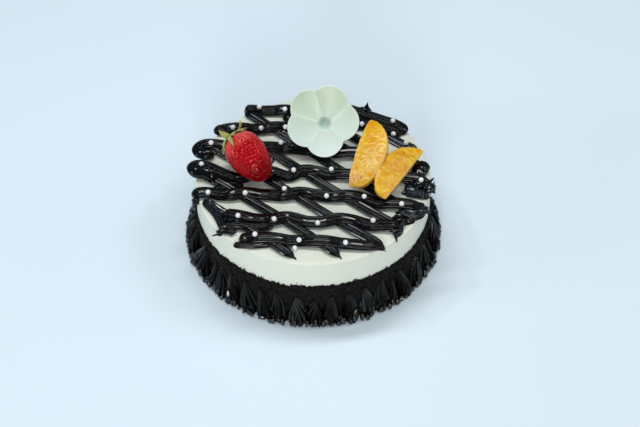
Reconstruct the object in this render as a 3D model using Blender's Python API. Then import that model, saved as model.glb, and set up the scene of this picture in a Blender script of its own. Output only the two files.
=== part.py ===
"""Black forest cake. A round cake is covered in white cream, with chocolate crumbs round its foot
and a skirt of piped ganache shells. A free-hand ganache lattice lies on top: straight strands
under wavy rows, with sugar pearls. On it are a white chocolate flower, a strawberry and two
mandarin segments set like a butterfly's wings. Metres, +Z up, the cake's foot centred on the
origin, the front at -Y."""

import math
import random

import bmesh
import bpy
from mathutils import Matrix, Vector

MM = 0.001
GAP = 0.3 * MM

# The cake.
CAKE_RADIUS = 77.8 * MM
CAKE_HEIGHT = 51.5 * MM
RIM_ROUND = 2.2 * MM
CRUMB_TOP = 31.4 * MM
CRUMB_PROUD = 1.1 * MM
CRUMB_ROUGH = 0.5 * MM
CRUMB_EDGE_WANDER = 1.1 * MM
CAKE_COLUMNS = 60
RIM_STEPS = 4
# Rings of the crumb coat, as shares of its height, and the share above which it is rough.
CRUMB_LEVELS = (0.0, 0.4, 0.72, 0.84, 0.93)
CRUMB_ROUGH_FROM = 0.8
# Between the crumbs and the bare cream: how proud of the cream, and how much higher.
CRUMB_EDGE = ((CRUMB_PROUD * 0.7, 0.0), (0.0, 0.7 * MM))

# The skirt of piped shells round the foot.
SHELL_COUNT = 46
SHELL_COLUMNS = 4
SHELL_FOOT_RADIUS = 87.3 * MM
SHELL_VALLEY_DEPTH = 2.6 * MM
SHELL_HEIGHT = 23.0 * MM
SHELL_HEIGHT_RANGE = (0.9, 1.06)
SHELL_DEPTH_VARIES = 0.9 * MM
SHELL_LEAN = 0.18
SHELL_VALLEY_HEIGHT = 13.0 * MM
SHELL_LIP = 0.9 * MM
# How sharply a shell draws to its point, and how round it is across.
SHELL_POINT = 2.4
SHELL_ROUND = 0.6
# Up a shell: share of its height and share of its depth.
SHELL_PROFILE = ((0.0, 0.86), (0.1, 1.0), (0.3, 0.93), (0.55, 0.62), (0.8, 0.3), (1.0, 0.0))
SHELL_BACK_DROP = 0.2 * MM
SKIRT_INNER_RADIUS = CAKE_RADIUS + CRUMB_PROUD + GAP

# The lattice's two kinds of strand, each a ribbed ribbon with a flat back.
ROW_HALF_WIDTH = 4.7 * MM
ROW_HEIGHT = 4.8 * MM
ROW_LIFT = 2.2 * MM
ROW_LIFT_REACH = 7.9 * MM
ROW_STEP = 8.0 * MM
# Sections: share of the half width to the left, and share of the height.
ROW_SECTION = (
    (-1.0, 0.0), (-0.94, 0.45), (-0.55, 0.76), (-0.18, 0.64), (0.15, 0.95), (0.6, 1.0), (0.95, 0.55),
    (1.0, 0.0),
)
STRAND_HALF_WIDTH = 3.6 * MM
STRAND_HEIGHT = 3.7 * MM
STRAND_STEP = 30.0 * MM
STRAND_SECTION = ((-1.0, 0.0), (-0.6, 0.95), (0.0, 0.75), (0.6, 0.95), (1.0, 0.0))
# Strands lie this much higher in turn, so that no two flat backs are at one height.
STRAND_RISE = 0.12 * MM
STRAND_TAPERS = (5, 9)
SCRAP_STEP = 7.5 * MM
SCRAP_TAPERS = (4, 6)
END_SHARE = 0.22
DENSE_END = (0.2, 0.5)
LATTICE_FLOOR = CAKE_HEIGHT + GAP

# Routes across the top, in millimetres from the cake's centre, seen from above.
ROWS = (
    ((-47, 63.5), (-30, 64), (-10, 64), (10, 64.5), (26, 63.5), (36, 59), (48, 53), (58, 47.5)),
    ((-67.5, 44.5), (-54, 45.5), (-38, 45.2), (-22, 46.5), (0, 47), (20, 48), (38, 49.5), (50, 45),
     (60, 39.5)),
    ((-78, 25.5), (-70, 29), (-60, 28.5), (-45, 26), (-28, 26.5), (-15, 26), (0, 23), (15, 21.5), (30, 20.5),
     (45, 16), (60, 11.5), (72, 10.5)),
    ((-82, 9.5), (-72, 8.5), (-60, 2), (-50, -2), (-38, 2), (-27, 3.5), (-17, -0.5), (-8, 3.5), (2, 3.5),
     (12, 0.5), (25, -0.5), (45, -2), (62, -3.5), (76, -6)),
    ((-80, -16), (-68, -15.5), (-56, -17.8), (-45, -16.6), (-30, -17.5), (-20, -18.8), (-8, -16.6),
     (2, -17.8), (12, -20.3), (22, -19.8), (32, -22), (42, -26), (55, -27.5), (73, -31)),
    ((-59, -36), (-48, -37.5), (-38, -39.5), (-27, -40.5), (-17, -39), (-5, -42), (6, -42.5), (16, -40.8),
     (26, -42), (36, -45.5), (46, -46.5), (56, -48)),
    ((-48, -57), (-30, -57.3), (-15, -58.8), (0, -60), (15, -61.3), (28, -63), (38, -64.2), (45, -65)),
)
# The lengths over which each row narrows to its left and right ends, in millimetres.
ROW_TAPERS = ((4, 4), (5, 4), (5, 6), (5, 8), (5, 12), (5, 6), (3, 26))
STRANDS = (
    ((-72, -22), (-43, -46.5), (-13, -72)),
    ((-76, 5), (-43, -21), (-14, -44.5), (16, -71.5)),
    ((-72, 31), (-45, 9.5), (-9, -20.5), (19, -44.5), (44, -63.5)),
    ((-58, 51.5), (-28, 23.5), (0, -2), (25, -23.5), (55, -47)),
    ((-46, 63.5), (-25, 44.5), (0, 21.5), (30, -5.5), (66, -35)),
    ((-20, 59), (0, 43.5), (33, 16.5), (60, -3.5), (74, -12)),
)
# Short ribbons and torn ends: half width, height, then the route.
SCRAPS = (
    (2.6, 3.0, ((50, 41), (60, 32.5), (71, 25.5))),
    (3.4, 4.6, ((31, 61), (34, 65.5), (37.5, 67))),
    (3.8, 4.6, ((70, 12), (74, 7), (72, 2.5))),
    (4.4, 6.0, ((66, -8), (73, -9), (77, -14))),
    (3.2, 4.0, ((60, -16), (68, -17.5), (76, -20))),
    (4.4, 4.6, ((55, -33), (64, -37), (72, -34))),
    (3.4, 3.6, ((-71, -22), (-63, -33), (-58.5, -44), (-56, -50))),
    (4.0, 4.0, ((-58, -46), (-48, -45), (-36, -46), (-26, -44.5))),
    (3.8, 3.4, ((47, -42), (54, -46), (53, -55))),
    (2.6, 3.4, ((-48.5, -61.5), (-38, -62), (-26, -61))),
    (2.4, 3.2, ((-66, -12), (-55, -6), (-46, -8))),
)
# Soft mounds of ganache that carry the flower and the raised mandarin: place, radius and height.
MOUNDS = ((9, 37, 12.5, 23.0), (38.5, 26, 7.5, 17.5))
MOUND_SIDES = 16
MOUND_PROFILE = ((0.0, 1.0), (0.2, 1.02), (0.5, 0.86), (0.78, 0.6), (0.95, 0.28))
PEARL_RADIUS = 1.7 * MM
PEARL_SINK = 0.75 * MM
PEARL_SIDES = 6
PEARL_LATITUDE = 0.5
PEARLS = (
    (-36.5, 63), (-19, 63), (-54, 42.8), (-35, 42.8), (-18.5, 43.5), (-69, 28.5), (-21.5, 27.5),
    (-75, 8), (-13, 1), (12, 2.5), (71, -7.5), (-69, -17.5), (-45, -17.5), (-19, -15.5), (8.5, -21.5),
    (33, -22.5), (57, -29), (-49, -39.5), (-25.5, -41.5), (3, -44.5), (38, -44.5), (-37.5, -56.5),
    (-10, -60), (-12, -62.4), (20, -62.5), (54.5, 49), (54.5, 40.5), (33, 48.5), (63, 30),
)

# The flower: five round cupped petals round a dimple, leaning back on its mound.
FLOWER_TIP = Vector((6.5, 15.0, 57.4)) * MM
# Where the dimple lies off the outline's centre, to the right and up the face.
FLOWER_HEART = (1.8 * MM, -2.3 * MM)
FLOWER_LEAN = math.radians(45.0)
FLOWER_THICK = 1.5 * MM
PETAL_ANGLES = tuple(math.radians(a) for a in (68, 137, 203, 276, 356))
PETAL_RADIUS = 12.9 * MM
PETAL_REACH = 11.4 * MM
FLOWER_RIM = PETAL_REACH + PETAL_RADIUS
FLOWER_CUP = 4.2 * MM
FLOWER_CUP_CURVE = 1.7
FLOWER_CUP_CENTRE = 3.78 * MM
FLOWER_SUNK = 1.2 * MM
FLOWER_CREASE = 0.9 * MM
PETAL_BROAD = 0.8
DIMPLE_RADIUS = 4.4 * MM
DIMPLE_DEPTH = 1.4 * MM
FLOWER_COLUMNS = 45
FLOWER_RINGS = (0.1, 0.19, 0.32, 0.55, 0.8, 1.0)

# The strawberry lies on its side, its leafy end up and to the left.
BERRY_CROWN = Vector((-51.8, 18.8, 70.2)) * MM
BERRY_TIP = Vector((-30.4, -8.8, 59.4)) * MM
# Share of the length from the crown, and radius in mm.
BERRY_PROFILE = (
    (0.0, 6.0), (0.07, 9.6), (0.2, 12.4), (0.36, 13.2), (0.52, 12.6), (0.68, 11.2), (0.83, 8.9), (0.94, 5.6),
)
BERRY_SIDES = 18
BERRY_LOBES = 3
BERRY_LOBE_DEPTH = 0.025
BERRY_LOBE_TURN = 0.6
# Leaves of the strawberry: turn round the stem in degrees, share of the full length, half width
# in mm, and how far the leaf stands up from the shoulder that it would lie on.
SEPALS = (
    (32, 0.95, 2.6, 0.9),
    (132, 1.0, 1.7, 0.7),
    (168, 0.9, 1.7, 0.4),
    (108, 0.95, 3.3, 0.1),
    (68, 0.85, 3.2, 0.05),
    (12, 1.0, 2.8, 0.1),
    (-30, 1.05, 2.3, 0.15),
    (-85, 0.8, 2.0, 0.3),
    (-140, 0.8, 2.0, 0.3),
)
# How a leaf runs, out from the stem and along the berry in mm: lying on the shoulder or standing up.
SEPAL_LYING = ((1.5, -0.9), (6.2, -1.2), (10.1, 1.1), (12.8, 5.2))
SEPAL_STANDING = ((1.5, -0.9), (5.0, -2.2), (8.0, -5.5), (9.6, -10.5))
SEPAL_THICK = 0.7 * MM
SEPAL_STAGGER = 0.17
SEPAL_STEPS = 5
SEPAL_CROWN_RADIUS = 3.4 * MM
SEPAL_CROWN_SIDES = 8
SEPAL_CROWN_FACES = (-0.55, 0.8)
SEPAL_TIP_HALF_WIDTH = 0.3 * MM
# Across a leaf: share of its half width, and share of its thickness with a fold along the middle.
SEPAL_SECTION = ((-1, -0.5), (0, -0.75), (1, -0.5), (1, 0.5), (0, 0.25), (-1, 0.5))

# The mandarin segments: two ends of the inner edge, how far the round back swings out from it and
# the inner edge bows the other way, the turn of the flat face about that edge in degrees, and how
# blunt the two ends are, where a smaller power is blunter.
SEGMENT_THICK = 10.5 * MM
SEGMENT_STEPS = 14
SEGMENT_SECTION = (
    (0.0, -0.12), (0.4, -0.36), (0.8, -0.5), (0.97, -0.4), (1.0, 0.0), (0.97, 0.42), (0.86, 0.5),
    (0.45, 0.38), (0.0, 0.12),
)
MANDARINS = {
    "mandarin_left": (
        Vector((24.0, -16.3, 59.4)) * MM, Vector((38.9, 32.4, 73.4)) * MM, 17.6 * MM, 3.4 * MM, 4.0,
        (0.32, 0.5),
    ),
    "mandarin_right": (
        Vector((73.5, 14.5, 61.0)) * MM, Vector((46.5, -29.0, 60.0)) * MM, 17.4 * MM, 0.5 * MM, -6.0,
        (0.5, 0.32),
    ),
}

# Base colour and roughness.
COLOURS = {
    "whipped_cream": ((0.78, 0.82, 0.75), 0.45),
    "chocolate_crumbs": ((0.02, 0.015, 0.012), 0.8),
    "ganache": ((0.012, 0.013, 0.016), 0.22),
    "ganache_shells": ((0.014, 0.012, 0.012), 0.3),
    "white_chocolate": ((0.69, 0.78, 0.7), 0.35),
    "strawberry_flesh": ((0.55, 0.005, 0.01), 0.2),
    "strawberry_leaf": ((0.32, 0.38, 0.08), 0.5),
    "mandarin_flesh": ((0.86, 0.5, 0.08), 0.3),
}


def clear_scene():
    for obj in list(bpy.data.objects):
        bpy.data.objects.remove(obj)


def material(name):
    colour, roughness = COLOURS[name]
    made = bpy.data.materials.get(name) or bpy.data.materials.new(name)
    made.use_nodes = True
    shader = made.node_tree.nodes["Principled BSDF"]
    shader.inputs["Base Color"].default_value = (*colour, 1.0)
    shader.inputs["Roughness"].default_value = roughness
    shader.inputs["Metallic"].default_value = 0.0
    made.diffuse_color = (*colour, 1.0)
    return made


def solid(name, points, faces, finish):
    """A closed mesh object with its faces turned outward and shaded smooth."""
    mesh = bpy.data.meshes.new(name)
    mesh.from_pydata([tuple(p) for p in points], [], faces)
    work = bmesh.new()
    work.from_mesh(mesh)
    bmesh.ops.recalc_face_normals(work, faces=work.faces)
    work.to_mesh(mesh)
    work.free()
    mesh.shade_smooth()
    mesh.set_sharp_from_angle(angle=math.radians(50))
    obj = bpy.data.objects.new(name, mesh)
    obj.data.materials.append(material(finish))
    bpy.context.scene.collection.objects.link(obj)
    return obj


def loft(rings, start=None, end=None):
    """Points and faces of a skin through rings of one count. Each end shuts at a point or flat."""
    count = len(rings[0])
    points = [p for ring in rings for p in ring]
    faces = []
    for row in range(len(rings) - 1):
        a = row * count
        b = a + count
        for i in range(count):
            j = (i + 1) % count
            faces.append((a + i, a + j, b + j, b + i))
    for pole, first in ((start, 0), (end, (len(rings) - 1) * count)):
        loop = list(range(first, first + count))
        if pole is None:
            faces.append(tuple(loop))
            continue
        points.append(pole)
        tip = len(points) - 1
        faces.extend((loop[i], loop[(i + 1) % count], tip) for i in range(count))
    return points, faces


def polar(radius, angle, z):
    return Vector((radius * math.cos(angle), radius * math.sin(angle), z))


def curve_point(route, t):
    """A point of the smooth curve through a route's points, for t from 0 to 1."""
    span = t * (len(route) - 1)
    i = min(int(span), len(route) - 2)
    u = span - i
    p1, p2 = route[i], route[i + 1]
    p0 = route[i - 1] if i > 0 else p1 * 2 - p2
    p3 = route[i + 2] if i + 2 < len(route) else p2 * 2 - p1
    linear = 2 * p1 + (p2 - p0) * u
    square = (2 * p0 - 5 * p1 + 4 * p2 - p3) * u**2
    cube = (3 * p1 - p0 - 3 * p2 + p3) * u**3
    return 0.5 * (linear + square + cube)


def smooth_route(route, step):
    """The route as vectors in metres, about one step apart along its smooth curve."""
    corners = [Vector((x * MM, y * MM)) for x, y in route]
    length = sum((b - a).length for a, b in zip(corners, corners[1:]))
    count = max(3, round(length / step))
    return [curve_point(corners, i / count) for i in range(count + 1)]


def near(place, route):
    """The distance from a place to a route of straight stretches, in metres."""
    corners = [Vector((x * MM, y * MM)) for x, y in route]
    best = math.inf
    for a, b in zip(corners, corners[1:]):
        u = max(0.0, min(1.0, (place - a).dot(b - a) / (b - a).length_squared))
        best = min(best, (a.lerp(b, u) - place).length)
    return best


def lift_at(place):
    """How much higher a row lies where it crosses a straight strand."""
    distance = min(near(place, route) for route in STRANDS)
    return ROW_LIFT * max(0.0, 1.0 - (distance / ROW_LIFT_REACH) ** 2)


def lie_flat(place):
    """The lift of a strand that lies straight on the cream."""
    return 0.0


def ribbon(name, places, section, half_width, height, lift, tapers, rise):
    """A ribbed ribbon with a flat back and tapered ends, laid along places on the cake's top."""
    rings = []
    last = len(places) - 1
    floor = LATTICE_FLOOR + rise
    for i, place in enumerate(places):
        ahead = (places[min(i + 1, last)] - places[max(i - 1, 0)]).normalized()
        side = Vector((-ahead.y, ahead.x))
        from_start = (place - places[0]).length / (tapers[0] * MM)
        from_end = (place - places[last]).length / (tapers[1] * MM)
        share = max(END_SHARE, min(1.0, from_start, from_end) ** 0.5)
        tall = height * (0.5 + 0.5 * share) + lift(place)
        ring = []
        for across, up in section:
            spot = place + side * across * half_width * share
            ring.append(Vector((spot.x, spot.y, floor + up * tall)))
        rings.append(ring)
    return solid(name, *loft(rings), "ganache")


def dense_ends(places):
    """The places with two more close to each end, where the ribbon tapers."""
    first = [places[0].lerp(places[1], u) for u in DENSE_END]
    last = [places[-1].lerp(places[-2], u) for u in DENSE_END[::-1]]
    return [places[0], *first, *places[1:-1], *last, places[-1]]


def mound(name, x, y, radius, height):
    """A soft swirl of ganache with a rounded top."""
    centre = Vector((x * MM, y * MM, LATTICE_FLOOR))
    rings = []
    for level, share in MOUND_PROFILE:
        ring = []
        for i in range(MOUND_SIDES):
            spot = polar(radius * MM * share, math.tau * i / MOUND_SIDES, level * height * MM)
            ring.append(centre + spot)
        rings.append(ring)
    top = centre + Vector((0.0, 0.0, height * MM))
    return solid(name, *loft(rings, end=top), "ganache")


def pearl(name, x, y, height):
    """A small sugar ball, sunk a little in the strand under it."""
    centre = Vector((x * MM, y * MM, height + PEARL_RADIUS - PEARL_SINK))
    rings = []
    wide = PEARL_RADIUS * math.cos(PEARL_LATITUDE)
    high = PEARL_RADIUS * math.sin(PEARL_LATITUDE)
    for z, half_step in ((-high, 0.0), (high, 0.5)):
        turns = [math.tau * (i + half_step) / PEARL_SIDES for i in range(PEARL_SIDES)]
        rings.append([centre + polar(wide, turn, z) for turn in turns])
    below = centre - Vector((0.0, 0.0, PEARL_RADIUS))
    above = centre + Vector((0.0, 0.0, PEARL_RADIUS))
    return solid(name, *loft(rings, below, above), "ganache")


def top_of(obj, x, y):
    """The height of the object's highest surface over a place."""
    sky = Vector((x * MM, y * MM, 2 * CAKE_HEIGHT))
    found, hit, _, _ = obj.ray_cast(sky, Vector((0.0, 0.0, -1.0)))
    if not found:
        raise ValueError(f"no strand under the pearl at {x}, {y}")
    return hit.z


def evaluated(obj):
    """Replaces an object's mesh with what its modifiers make of it."""
    graph = bpy.context.evaluated_depsgraph_get()
    made = bpy.data.meshes.new_from_object(obj.evaluated_get(graph))
    obj.modifiers.clear()
    obj.data = made


def keep_largest(obj):
    """Drops loose scraps, so that the object is one body."""
    work = bmesh.new()
    work.from_mesh(obj.data)
    work.verts.ensure_lookup_table()
    waiting = set(work.verts)
    bodies = []
    while waiting:
        body = set()
        edge = [waiting.pop()]
        while edge:
            vert = edge.pop()
            body.add(vert)
            for link in vert.link_edges:
                other = link.other_vert(vert)
                if other in waiting:
                    waiting.remove(other)
                    edge.append(other)
        bodies.append(body)
    largest = max(bodies, key=len)
    scraps = [vert for vert in work.verts if vert not in largest]
    bmesh.ops.delete(work, geom=scraps, context="VERTS")
    work.to_mesh(obj.data)
    work.free()


def join_all(base, others):
    """Joins solids to a base with one Boolean union and removes them."""
    gathered = bpy.data.collections.new("to_join")
    bpy.context.scene.collection.children.link(gathered)
    for obj in others:
        bpy.context.scene.collection.objects.unlink(obj)
        gathered.objects.link(obj)
    union = base.modifiers.new("join", "BOOLEAN")
    union.operation = "UNION"
    union.operand_type = "COLLECTION"
    union.collection = gathered
    union.solver = "MANIFOLD"
    bpy.context.view_layer.update()
    evaluated(base)
    for obj in others:
        bpy.data.objects.remove(obj)
    bpy.data.collections.remove(gathered)


def cut_with(base, cutters):
    """Presses the cutters' shapes into a solid and removes the cutters."""
    for cutter in cutters:
        bite = base.modifiers.new("press_" + cutter.name, "BOOLEAN")
        bite.operation = "DIFFERENCE"
        bite.object = cutter
        bite.solver = "MANIFOLD"
    bpy.context.view_layer.update()
    evaluated(base)
    for cutter in cutters:
        bpy.data.objects.remove(cutter)


def cream_cake():
    """The body of the cake: a crumb-coated foot, a smooth cream wall and a flat top."""
    chance = random.Random(7)
    edge_wander = [chance.uniform(-1.0, 1.0) * CRUMB_EDGE_WANDER for _ in range(CAKE_COLUMNS)]
    rings = []
    for level in CRUMB_LEVELS:
        ring = []
        for i in range(CAKE_COLUMNS):
            rough = chance.uniform(-CRUMB_ROUGH, CRUMB_ROUGH) if level > CRUMB_ROUGH_FROM else 0.0
            radius = CAKE_RADIUS + CRUMB_PROUD + rough
            ring.append(polar(radius, math.tau * i / CAKE_COLUMNS, level * CRUMB_TOP))
        rings.append(ring)
    for proud, rise in CRUMB_EDGE:
        ring = []
        for i in range(CAKE_COLUMNS):
            height = CRUMB_TOP + edge_wander[i] + rise
            ring.append(polar(CAKE_RADIUS + proud, math.tau * i / CAKE_COLUMNS, height))
        rings.append(ring)
    for step in range(RIM_STEPS):
        bend = step / (RIM_STEPS - 1) * math.pi / 2
        radius = CAKE_RADIUS - RIM_ROUND * (1 - math.cos(bend))
        height = CAKE_HEIGHT - RIM_ROUND * (1 - math.sin(bend))
        rings.append([polar(radius, math.tau * i / CAKE_COLUMNS, height) for i in range(CAKE_COLUMNS)])
    cake = solid("cream_cake", *loft(rings), "whipped_cream")
    cake.data.materials.append(material("chocolate_crumbs"))
    for face in cake.data.polygons:
        face.material_index = int(0.0 < face.center.z < CRUMB_TOP + CRUMB_EDGE_WANDER)


def shell_border():
    """The skirt: shells piped up the side, each fat at the foot and drawn to a point above."""
    chance = random.Random(11)
    columns = []
    for shell in range(SHELL_COUNT):
        height = SHELL_HEIGHT * chance.uniform(*SHELL_HEIGHT_RANGE)
        reach = SHELL_FOOT_RADIUS - SKIRT_INNER_RADIUS - chance.uniform(0.0, 1.0) * SHELL_DEPTH_VARIES
        lean = chance.uniform(-SHELL_LEAN, SHELL_LEAN)
        for k in range(SHELL_COLUMNS):
            share = k / SHELL_COLUMNS
            crest = math.sin(math.pi * share)
            top = SHELL_VALLEY_HEIGHT + (height - SHELL_VALLEY_HEIGHT) * crest**SHELL_POINT
            depth = reach - SHELL_VALLEY_DEPTH * (1 - crest**SHELL_ROUND)
            columns.append((shell + share, lean * crest, top, depth))
    rings = [[] for _ in range(len(SHELL_PROFILE) + 2)]
    for place, lean, top, depth in columns:
        for row, (level, share) in enumerate(SHELL_PROFILE):
            angle = math.tau * (place + lean * level) / SHELL_COUNT
            radius = SKIRT_INNER_RADIUS + SHELL_LIP + (depth - SHELL_LIP) * share
            rings[row].append(polar(radius, angle, level * top))
        angle_top = math.tau * (place + lean) / SHELL_COUNT
        rings[-2].append(polar(SKIRT_INNER_RADIUS, angle_top, top - SHELL_BACK_DROP))
        rings[-1].append(polar(SKIRT_INNER_RADIUS, math.tau * place / SHELL_COUNT, 0.0))
    count = len(columns)
    points = [p for ring in rings for p in ring]
    faces = []
    for row in range(len(rings)):
        a = row * count
        b = (row + 1) % len(rings) * count
        for i in range(count):
            j = (i + 1) % count
            faces.append((a + i, a + j, b + j, b + i))
    solid("shell_border", points, faces, "ganache_shells")


def lattice():
    """The rows, straight strands, scraps, mounds and pearls, joined as one body."""
    pieces = []
    for n, route in enumerate(STRANDS):
        places = dense_ends(smooth_route(route, STRAND_STEP))
        rise = STRAND_RISE * (1 + n % 2)
        pieces.append(
            ribbon(f"strand_{n}", places, STRAND_SECTION, STRAND_HALF_WIDTH, STRAND_HEIGHT, lie_flat,
                   STRAND_TAPERS, rise)
        )
    for n, route in enumerate(ROWS):
        places = dense_ends(smooth_route(route, ROW_STEP))
        pieces.append(
            ribbon(f"row_{n}", places, ROW_SECTION, ROW_HALF_WIDTH, ROW_HEIGHT, lift_at, ROW_TAPERS[n], 0.0)
        )
    for n, (half_width, height, route) in enumerate(SCRAPS):
        places = smooth_route(route, SCRAP_STEP)
        rise = STRAND_RISE * (3 + n % 3)
        pieces.append(
            ribbon(f"scrap_{n}", places, STRAND_SECTION, half_width * MM, height * MM, lie_flat,
                   SCRAP_TAPERS, rise)
        )
    for n, (x, y, radius, height) in enumerate(MOUNDS):
        pieces.append(mound(f"mound_{n}", x, y, radius, height))
    base = pieces.pop(0)
    base.name = "piped_lattice"
    join_all(base, pieces)
    pearls = [pearl(f"pearl_{n}", x, y, top_of(base, x, y)) for n, (x, y) in enumerate(PEARLS)]
    join_all(base, pearls)
    cutters = [flower("press_flower", GAP), strawberry("press_berry", GAP)]
    cutters += [mandarin("press_" + name, *MANDARINS[name], GAP) for name in MANDARINS]
    cut_with(base, cutters)
    keep_largest(base)


def petal_edge(angle):
    """The flower's outline: the farthest edge of five overlapping round petals."""
    reach = 0.0
    for petal in PETAL_ANGLES:
        turn = angle - petal
        off = PETAL_REACH * math.sin(turn)
        if abs(off) < PETAL_RADIUS:
            reach = max(reach, PETAL_REACH * math.cos(turn) + math.sqrt(PETAL_RADIUS**2 - off**2))
    return reach


def flower_height(radius, angle):
    """How far the flower's face stands up from its flat centre."""
    share = radius / FLOWER_RIM
    middle = max(math.cos(angle - petal) for petal in PETAL_ANGLES)
    crease = FLOWER_CREASE * (1 - middle) / (1 - PETAL_BROAD) * share * (1 - share) * 4
    dimple = DIMPLE_DEPTH * max(0.0, 1 - (radius / DIMPLE_RADIUS) ** 2)
    return FLOWER_CUP * share**FLOWER_CUP_CURVE + crease - dimple


def flower(name, grow=0.0):
    """A thin cupped flower. Both faces have the same grid, one thickness apart."""
    up = Vector((0.0, math.cos(FLOWER_LEAN), math.sin(FLOWER_LEAN)))
    right = Vector((1.0, 0.0, 0.0))
    out = right.cross(up)
    centre = FLOWER_TIP + up * (FLOWER_RIM - FLOWER_SUNK) - out * FLOWER_CUP_CENTRE
    faces_of_flower = []
    for offset in (FLOWER_THICK / 2 + grow, -FLOWER_THICK / 2 - grow):
        rings = []
        for share in FLOWER_RINGS:
            ring = []
            for i in range(FLOWER_COLUMNS):
                angle = math.tau * i / FLOWER_COLUMNS
                edge = petal_edge(angle)
                radius = edge * share
                height = flower_height(radius, angle)
                reach = radius + (grow if share == 1.0 else 0.0)
                across = reach * math.cos(angle) + FLOWER_HEART[0] * (1 - share)
                rise = reach * math.sin(angle) + FLOWER_HEART[1] * (1 - share)
                ring.append(centre + right * across + up * rise + out * (height + offset))
            rings.append(ring)
        heart = centre + right * FLOWER_HEART[0] + up * FLOWER_HEART[1]
        faces_of_flower.append((rings, heart + out * (flower_height(0.0, 0.0) + offset)))
    (front, front_pole), (back, back_pole) = faces_of_flower
    return solid(name, *loft(front + back[::-1], front_pole, back_pole), "white_chocolate")


def berry_frame():
    """The strawberry's axis and two directions across it, the second one nearest to up."""
    axis = (BERRY_TIP - BERRY_CROWN).normalized()
    side = axis.cross(Vector((0.0, 0.0, 1.0))).normalized()
    return axis, side, side.cross(axis)


def strawberry(name, grow=0.0):
    axis, side, up = berry_frame()
    length = (BERRY_TIP - BERRY_CROWN).length
    rings = []
    for along, radius in BERRY_PROFILE:
        ring = []
        for i in range(BERRY_SIDES):
            turn = math.tau * i / BERRY_SIDES
            lobe = BERRY_LOBE_DEPTH * math.cos(BERRY_LOBES * turn + BERRY_LOBE_TURN)
            reach = radius * MM * (1 + lobe) + grow
            outward = side * math.cos(turn) + up * math.sin(turn)
            ring.append(BERRY_CROWN + axis * along * length + outward * reach)
        rings.append(ring)
    rings[0] = [p - axis * grow for p in rings[0]]
    crown = BERRY_CROWN - axis * grow
    return solid(name, *loft(rings, crown, BERRY_TIP + axis * grow), "strawberry_flesh")


def sepal_run(t, stand):
    """A point of a leaf's run between its lying and its standing form."""
    lying = curve_point([Vector(p) for p in SEPAL_LYING], min(t, 1.1))
    standing = curve_point([Vector(p) for p in SEPAL_STANDING], min(t, 1.1))
    return lying.lerp(standing, stand)


def strawberry_leaves():
    """A crown of pointed sepals, one thin wavy solid."""
    axis, side, up = berry_frame()
    base = BERRY_CROWN - axis * (GAP + SEPAL_THICK)
    pieces = []
    for n, (turn, share, half_width, stand) in enumerate(SEPALS):
        angle = math.radians(turn)
        outward = side * math.cos(angle) + up * math.sin(angle)
        across = axis.cross(outward)
        rings = []
        for step in range(SEPAL_STEPS + 1):
            t = step / SEPAL_STEPS
            run = sepal_run(t * share, stand)
            ahead = (sepal_run(t * share + 0.05, stand) - run).normalized()
            face = outward * ahead.y - axis * ahead.x
            width = max(half_width * MM * (0.7 + 1.1 * t - 1.75 * t**2), SEPAL_TIP_HALF_WIDTH)
            middle = BERRY_CROWN + outward * run.x * MM + axis * (run.y - SEPAL_STAGGER * (n % 3)) * MM
            rings.append([middle + across * a * width + face * b * SEPAL_THICK for a, b in SEPAL_SECTION])
        pieces.append(solid(f"sepal_{n}", *loft(rings), "strawberry_leaf"))
    rings = []
    for height in SEPAL_CROWN_FACES:
        ring = []
        for i in range(SEPAL_CROWN_SIDES):
            turn = math.tau * i / SEPAL_CROWN_SIDES
            spot = (side * math.cos(turn) + up * math.sin(turn)) * SEPAL_CROWN_RADIUS
            ring.append(base + spot - axis * height * SEPAL_THICK)
        rings.append(ring)
    crown = solid("strawberry_leaves", *loft(rings), "strawberry_leaf")
    join_all(crown, pieces)
    keep_largest(crown)


def mandarin(name, start, end, swing, bow, tilt, powers, grow=0.0):
    """A crescent segment: thin along its straight edge, thick at its round back."""
    along = (end - start).normalized()
    length = (end - start).length
    flat = along.cross(Vector((0.0, 0.0, 1.0))).normalized()
    out = Matrix.Rotation(math.radians(tilt), 3, along) @ flat
    up = out.cross(along)
    rings = []
    for step in range(1, SEGMENT_STEPS):
        t = step / SEGMENT_STEPS
        bulge = math.sin(math.pi * t) ** (powers[0] * (1 - t) + powers[1] * t)
        ring = []
        for across, thick in SEGMENT_SECTION:
            spot = start + along * length * t
            direction = Vector((across - 0.5, thick)).normalized()
            spot = spot + out * (((swing + bow) * across - bow) * bulge + grow * direction.x)
            spot = spot + up * (SEGMENT_THICK * bulge * thick + grow * direction.y)
            ring.append(spot)
        rings.append(ring)
    return solid(name, *loft(rings, start - along * grow, end + along * grow), "mandarin_flesh")


def main():
    clear_scene()
    cream_cake()
    shell_border()
    lattice()
    flower("chocolate_flower")
    strawberry("strawberry")
    strawberry_leaves()
    mandarin("mandarin_left", *MANDARINS["mandarin_left"])
    right = mandarin("mandarin_right", *MANDARINS["mandarin_right"])
    cut_with(right, [mandarin("press_wing", *MANDARINS["mandarin_left"], GAP)])
    keep_largest(right)


if __name__ == "__main__":
    main()
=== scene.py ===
"""The finish of a black forest cake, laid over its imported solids: whipped cream, crumbs, piped
ganache, white chocolate and fruit. Sizes repeat the solids' own, in metres, +Z up."""

import math

import bmesh
import bpy
import numpy as np
from bpy.props import FloatProperty, FloatVectorProperty, IntProperty, PointerProperty
from mathutils import Matrix, Vector, noise
from mathutils.bvhtree import BVHTree


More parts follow.
